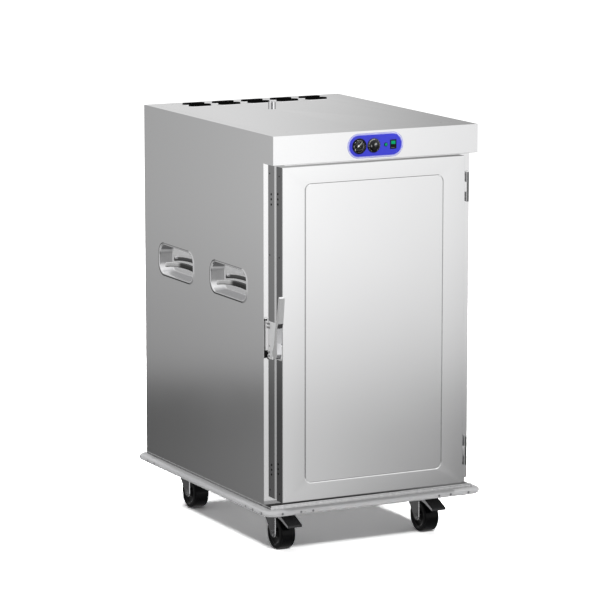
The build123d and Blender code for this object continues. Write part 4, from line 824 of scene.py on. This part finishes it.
for name, nodeName in (("hingeFrameLeaves", "hinge_frame_leaves"), ("hingeDoorLeaves", "hinge_door_leaves")):
    dressHinge(softened(name, nodeName, "hingeShadeMetal", 0.7, "frame_steel"), hingePin)


def roundedBar(name, spans, along, edge, finish, slotName):
    # a bar with all its edges rounded: its spans in x, y and z, and the axis that it lies along
    first, second = [axis for axis in range(3) if axis != along]
    low, high = spans[along]
    loops = []
    for place, shrink in ((low, edge), (low + edge, 0.0), (high - edge, 0.0), (high, edge)):
        wide, tall = [spans[axis][1] - spans[axis][0] - 2 * shrink for axis in (first, second)]
        loop = []
        for u, v in cornerLoop(wide, tall, edge, 3):
            point = [place, place, place]
            point[first], point[second] = sum(spans[first]) / 2 + u, sum(spans[second]) / 2 + v
            loop.append(point)
        loops.append(loop)
    loftPiece(name, loops, finish, "root", slotName, capFirst=True, capLast=True, crease=50.0)


# the keep beside the strike plate: a dark slot, a black sheet of painted shade, with its bolt, stop and cap
keep = {"x": (-349.2, -337.5), "z": (454.0, 574.0), "bolt": (-345.6, -343.4), "stop": 24.0, "cap": 5.0}
(keepLeft, keepRight), (low, high) = keep["x"], [fromBottom(z) for z in keep["z"]]
for name, x, out, z, edge, finish in (
    ("keepSlotShade", keep["x"], (0.5, 0.05), (low, high), 0.1, "blackHole"),
    ("keepBolt", keep["bolt"], (2.6, 0.6), (low + keep["stop"], high - 2.0), 0.6, "frameSteel"),
    ("keepStop", (keepLeft + 0.6, keepRight - 0.4), (4.0, 0.6), (low + 1.0, low + keep["stop"]),
     0.8, "blackPlastic"),
    ("keepCap", (keepLeft, keepRight + 1.5), (6.0, 0.1), (high, high + keep["cap"]), 0.8, "castMetal"),
):
    roundedBar(name, (x, [fromFront(-y) for y in out], z), 2, edge, finish, "frame_steel")

# plugs in the holes for a door hung the other way: distance behind the flange, heights and radius
holes = {
    "frame": ((-22.0, (955, 940, 924, 127, 112, 97.5), 3.6), (-12.0, (1017, 770, 48), 2.2)),
    "door": ((-53.0, (959, 943, 928, 135, 120, 105), 3.6), (-62.0, (1013, 768, 44), 2.2)),
    "strike": ((-22.0, (563, 552, 473, 457), 3.1), (-34.0, (497,), 1.7)),
}


def darkPlugs(name, x, rows, body, slotName, dome=1.6):
    # small black plugs, each a low dome, on a face that looks along -X
    parts = ([], [])
    for behind, heights, radius in rows:
        for height in heights:
            y, z = fromFront(behind), fromBottom(height)
            loops = []
            for rise, share in ((0.03, 1.0), (dome * 0.45, 0.98), (dome * 0.85, 0.75), (dome, 0.35)):
                loops.append([(x - rise, y + u, z + v) for u, v in circle(radius * share, 16)])
            gather(parts, loops, capLast=True)
    meshPiece(name, *parts, "blackHole", body, slotName)


strikeSide = min(v.co.x for v in strike.data.vertices) / mm
darkPlugs("frameSidePlugs", cabinet["frameSide"], holes["frame"], "root", "frame_steel")
darkPlugs("doorSidePlugs", cabinet["doorX"][0], holes["door"], "door", "door_steel")
darkPlugs("strikeScrews", strikeSide, holes["strike"], "root", "frame_steel")
print("stage 8: latch and hinges made")

castors = {
    "places": {                    # axles, the second number behind the flange
        "fl": (-251.5, 79.0), "fr": (251.5, 79.0), "rl": (-251.5, 698.0), "rr": (251.5, 698.0),
    },
    "wheelRadius": 50.0,
    "tyreWidth": 50.0,
    "coreRadius": 37.0,
    "shoulder": 5.5,
    "hub": (                       # distance in from the tyre's side, and radius
        (-0.6, 5.3), (-0.6, 10.5), (0.2, 12.0), (6.0, 13.5), (9.5, 17.0), (10.0, 24.0),
        (7.5, 30.0), (3.6, 33.0), (3.0, 36.9),
    ),
}


def mirroredRing(profile):
    # a closed profile from its left half
    return profile + [(-along, radius) for along, radius in profile[::-1]] + [profile[0]]


def buildCastors(look):
    r, half, core, turn = look["wheelRadius"], look["tyreWidth"] / 2, look["coreRadius"], look["shoulder"]
    tread = [(-half, core + 0.1), (-half, core + 1.0)]
    for step in range(7):
        angle = math.radians(90 * step / 6)
        tread.append((-half + turn * (1 - math.cos(angle)), r - turn + turn * math.sin(angle)))
    hub = [(-half + inwards, radius) for inwards, radius in look["hub"]]
    for corner, (x, behind) in look["places"].items():
        wheel, ending, middle = "wheel_" + corner, corner.capitalize(), (x, fromFront(behind), r)
        tyre = turned("tyre" + ending, middle, (1, 0, 0), mirroredRing(tread), "tyreBlack",
                      wheel, "tyre_black", ("tyre_" + corner,), steps=96)
        paintFaces(tyre, "wheelBlack", lambda normal, centre: abs(normal.x) > 0.5)
        turned("wheelCore" + ending, middle, (1, 0, 0), mirroredRing(hub), "wheelBlack",
               wheel, "wheel_black", ("wheel_core_" + corner,), steps=72)
        fork = softened("fork" + ending, "fork_" + corner, "zincSteel", 0.8, "zinc_steel",
                        segments=2, mirrored=True)
        # painted shade: the fork's side plates darker
        paintFaces(fork, "forkSideShadeSteel", lambda normal, centre: abs(normal.x) > 0.9)
    softened("castorPlates", "caster_plates", "zincSteel", 0.6, "zinc_steel", segments=2)
    for corner in ("fl", "fr"):
        pedal = softened("pedal" + corner.capitalize(), "brake_pedal_" + corner, "zincSteel", 0.7,
                         "pedal_steel", segments=2, mirrored=True)
        paintFaces(pedal, "pedalBlack",
                   lambda normal, centre: abs(normal.x) < 0.6 and (normal.z > -0.3 or normal.y > -0.3))


buildCastors(castors)
print("stage 9: castors made")

# the turned-up lip along the base's front edge
baseLip = {"x": (-349.0, 349.0), "y": (-46.0, -44.4), "z": (-0.4, 5.2), "edge": 0.5}
lipSpans = (baseLip["x"], [fromFront(y) for y in baseLip["y"]], [fromBottom(z) for z in baseLip["z"]])
roundedBar("baseLip", lipSpans, 0, baseLip["edge"], "baseSteel", "base_steel")

for finish, nodeNames in {
    "linerSteel": ("inner_liner", "rack_posts", "tray_runners", "fan_guard", "water_tray"),
    "brightSteel": ("wire_shelves",),
    "screwMetal": ("body_screws",),
    "zincSteel": ("chassis_rails",),
    "blackPlastic": ("thermostat_body", "cable_gland"),
    "motorMetal": ("fan_motor", "fan_wheel"),
    "heaterTube": ("heater_element",),
}.items():
    for nodeName in nodeNames:
        paintNode(nodeName, finish)


def clearGlass(name):
    material, tree, shader = newMaterial(name)
    shader.inputs["Roughness"].default_value = 0.03
    shader.inputs["Transmission Weight"].default_value = 1.0
    shader.inputs["IOR"].default_value = 1.12
    speck = noise(tree, objectPlace(tree), Scale=60.0)
    toneRamp(tree, speck, (0.0, 1.0), (0.93, 0.95, 0.95), (0.97, 0.98, 0.98), shader.inputs["Base Color"])
    return material


finishes["clearGlass"] = clearGlass("clearGlass")
paintNode("gauge_glass", "clearGlass")
print("stage 10: inner pieces finished")

studio = {
    "worldLight": 0.15,
    "floorReach": 40.0,
    "floorTone": (0.79, 0.81),
    "floorGain": 2.4,              # how much paler the floor is to the camera than to the lamps' light
    "floorGlow": (0.0, 1.0),       # what it adds by itself close to the trolley and far from it
    "floorFade": (1.1, 3.2),       # metres over which that grows
    "tentRadius": 100.0,
    "tentHeight": 0.7,
    "horizon": (-11.55, -11.15),   # degrees between which the reflected ground turns to the bright wall
    "horizonLift": (-140, 20, -0.1, 0.0),
    # brightness of the wall, then of the ground, each with its soft steps round the trolley:
    # from and to which degrees, with 0 in front of the door and 90 to its right, and the two levels
    "wall": 0.93,
    "wallSteps": (
        (-12, 18, 1.0, 1.64), (25.2, 31.5, 1.0, 0.70), (40, 100, 1.0, 0.92),
        (-172, -159, 1.0, 0.52), (-157.5, -150, 1.0, 1.6), (-150, -120, 1.0, 1.2),
        (149.0, 154.5, 0.5, 1.0), (120, 146, 1.6, 0.75),
    ),
    "wallHeights": ((-11.2, -7.6, 0.77, 1.0), (15, 60, 1.0, 1.3)),
    "ground": 0.35,
    "groundSteps": (
        (-5, 15, 1.0, 2.12), (25.2, 30.9, 1.0, 0.17), (34, 60, 1.0, 1.7),
        (-176, -160, 1.0, 0.2), (-158, -150, 1.0, 4.0), (-150, -130, 1.0, 1.25),
    ),
    "groundHeights": ((-60, -25, 1.5, 1.0),),
    "groundBand": (-13.0, -11.8, 1.0, 0.86),     # a darker band under the horizon
    "dimAim": (-0.446, -0.88, -0.15),            # the dim side behind the camera
    "dimReach": (34, 14),                        # from and to how many degrees round it
    "dimLevel": 0.4,
}

world = bpy.data.worlds.new("studioWorld")
bpy.context.scene.world = world
world.use_nodes = True
backdrop = world.node_tree.nodes["Background"]
backdrop.inputs["Color"].default_value = (1, 1, 1, 1)
skyLevel = sweep(world.node_tree, seenRays(world.node_tree), 0, 1, studio["worldLight"], 1.0, "LINEAR")
world.node_tree.links.new(skyLevel, backdrop.inputs["Strength"])


def buildFloor(look):
    reach = look["floorReach"]
    mesh = bpy.data.meshes.new("studioFloor")
    corners = [(-reach, -reach, 0), (reach, -reach, 0), (reach, reach, 0), (-reach, reach, 0)]
    mesh.from_pydata(corners, [], [(0, 1, 2, 3)])
    floor = addObject("studioFloor", mesh)
    material, tree, shader = newMaterial("paleFloor")
    shader.inputs["Roughness"].default_value = 0.9
    shader.inputs["Specular IOR Level"].default_value = 0.0
    place = objectPlace(tree)
    away = addNode(tree, "ShaderNodeVectorMath", operation="LENGTH")
    tree.links.new(place, away.inputs[0])
    seen = seenRays(tree)
    pale = sweep(tree, noise(tree, place, Scale=2.0), 0, 1, *look["floorTone"])
    tone = calc(tree, "MULTIPLY", pale, sweep(tree, seen, 0, 1, 1.0, look["floorGain"], "LINEAR"))
    greyColour(tree, tone, shader.inputs["Base Color"])
    shader.inputs["Emission Color"].default_value = (1, 1, 1, 1)
    glow = sweep(tree, away.outputs["Value"], *look["floorFade"], *look["floorGlow"])
    tree.links.new(calc(tree, "MULTIPLY", glow, seen), shader.inputs["Emission Strength"])
    mesh.materials.append(material)
    floor.visible_glossy = False


def buildTent(look):
    # the studio's cloth, seen only in the steel: bright above its soft horizon, grey below
    mesh = bpy.data.meshes.new("studioTent")
    bm = bmesh.new()
    bmesh.ops.create_icosphere(bm, subdivisions=4, radius=look["tentRadius"])
    bm.to_mesh(mesh)
    bm.free()
    tent = addObject("studioTent", mesh)
    tent.location = (0, 0, look["tentHeight"])
    material = bpy.data.materials.new("tentCloth")
    material.use_nodes = True
    tree = material.node_tree
    tree.nodes.clear()
    out = addNode(tree, "ShaderNodeOutputMaterial")
    glow = addNode(tree, "ShaderNodeEmission")
    tree.links.new(glow.outputs["Emission"], out.inputs["Surface"])
    unit = addNode(tree, "ShaderNodeVectorMath", operation="NORMALIZE")
    tree.links.new(objectPlace(tree), unit.inputs[0])
    axes = addNode(tree, "ShaderNodeSeparateXYZ")
    tree.links.new(unit.outputs["Vector"], axes.inputs["Vector"])
    frontwards = calc(tree, "MULTIPLY", axes.outputs["Y"], -1.0)
    up = calc(tree, "DEGREES", calc(tree, "ARCSINE", axes.outputs["Z"]))
    about = calc(tree, "DEGREES", calc(tree, "ARCTAN2", axes.outputs["X"], frontwards))

    def chain(level, *runs):
        # the level times each of the steps along an angle
        for angle, steps in runs:
            for step in steps:
                level = calc(tree, "MULTIPLY", level, sweep(tree, angle, *step))
        return level

    # the horizon stands a little higher on the left
    lift = calc(tree, "ADD", up, sweep(tree, about, *look["horizonLift"]))
    wall = chain(look["wall"], (about, look["wallSteps"]), (up, look["wallHeights"]))
    ground = chain(look["ground"], (about, look["groundSteps"]), (up, look["groundHeights"]),
                   (lift, (look["groundBand"],)))
    level = addNode(tree, "ShaderNodeMix", data_type="FLOAT")
    tree.links.new(sweep(tree, lift, *look["horizon"], 0.0, 1.0), level.inputs["Factor"])
    tree.links.new(ground, level.inputs[2])
    tree.links.new(wall, level.inputs[3])
    aim = addNode(tree, "ShaderNodeVectorMath", operation="DOT_PRODUCT")
    tree.links.new(unit.outputs["Vector"], aim.inputs[0])
    aim.inputs[1].default_value = look["dimAim"]
    start, end = [math.cos(math.radians(angle)) for angle in look["dimReach"]]
    dim = sweep(tree, aim.outputs["Value"], start, end, 1.0, look["dimLevel"])
    tree.links.new(calc(tree, "MULTIPLY", level.outputs[0], dim), glow.inputs["Strength"])
    mesh.materials.append(material)
    for rays in ("camera", "diffuse", "shadow", "transmission", "volume_scatter"):
        setattr(tent, "visible_" + rays, False)


buildFloor(studio)
buildTent(studio)

# four soft lamps round the trolley, each throwing its shadow away from itself
lamps = {
    "distance": 5.0,
    "size": 0.7,
    "power": 130.0,
    "leans": {                     # towards which side, and how many degrees from upright
        "leftLamp": (-1, 0, 36), "rightLamp": (1, 0, 36), "frontLamp": (0, -1, 49), "rearLamp": (0, 1, 49),
    },
}


def hangLamp(name, direction, size, power, distance):
    light = bpy.data.lights.new(name, "AREA")
    light.shape = "DISK"
    light.size = size
    light.energy = power
    lamp = addObject(name, light)
    lamp.location = Vector(direction).normalized() * distance
    lamp.rotation_mode = "QUATERNION"
    lamp.rotation_quaternion = (-lamp.location).to_track_quat("-Z", "Y")
    return lamp


for name, (sideX, sideY, lean) in lamps["leans"].items():
    out, high = math.sin(math.radians(lean)), math.cos(math.radians(lean))
    lamp = hangLamp(name, (sideX * out, sideY * out, high), lamps["size"], lamps["power"], lamps["distance"])
    lamp.visible_glossy = False

# two wide cards whose gloss only the black mouldings catch
cards = {
    "size": 3.0,
    "power": 420.0,
    "distance": 5.0,
    "aims": {"leftCard": (-1.0, -0.1, 0.25), "rightCard": (0.2, -0.9, 0.55)},
}
mouldings = bpy.data.collections.new("blackMouldings")
for name in ("knobTurned", "pedalFl", "pedalFr"):
    mouldings.objects.link(bpy.data.objects[name])
for name, aim in cards["aims"].items():
    card = hangLamp(name, aim, cards["size"], cards["power"], cards["distance"])
    card.light_linking.receiver_collection = mouldings

view = {"place": (-4.9033, fromFront(-9197.2) * mm, 2.5760), "yaw": 26.95, "pitch": 9.85, "lens": 207.74}
cameraData = bpy.data.cameras.new("photoCamera")
cameraData.lens = view["lens"]
cameraData.sensor_width = 36.0
cameraData.clip_end = 100.0
camera = addObject("photoCamera", cameraData)
camera.location = view["place"]
yaw, pitch = math.radians(view["yaw"]), math.radians(view["pitch"])
forward = Vector((math.sin(yaw) * math.cos(pitch), math.cos(yaw) * math.cos(pitch), -math.sin(pitch)))
camera.rotation_mode = "QUATERNION"
camera.rotation_quaternion = forward.to_track_quat("-Z", "Y")
bpy.context.scene.camera = camera
bpy.context.scene.view_settings.view_transform = "Standard"
print("stage 11: studio made")
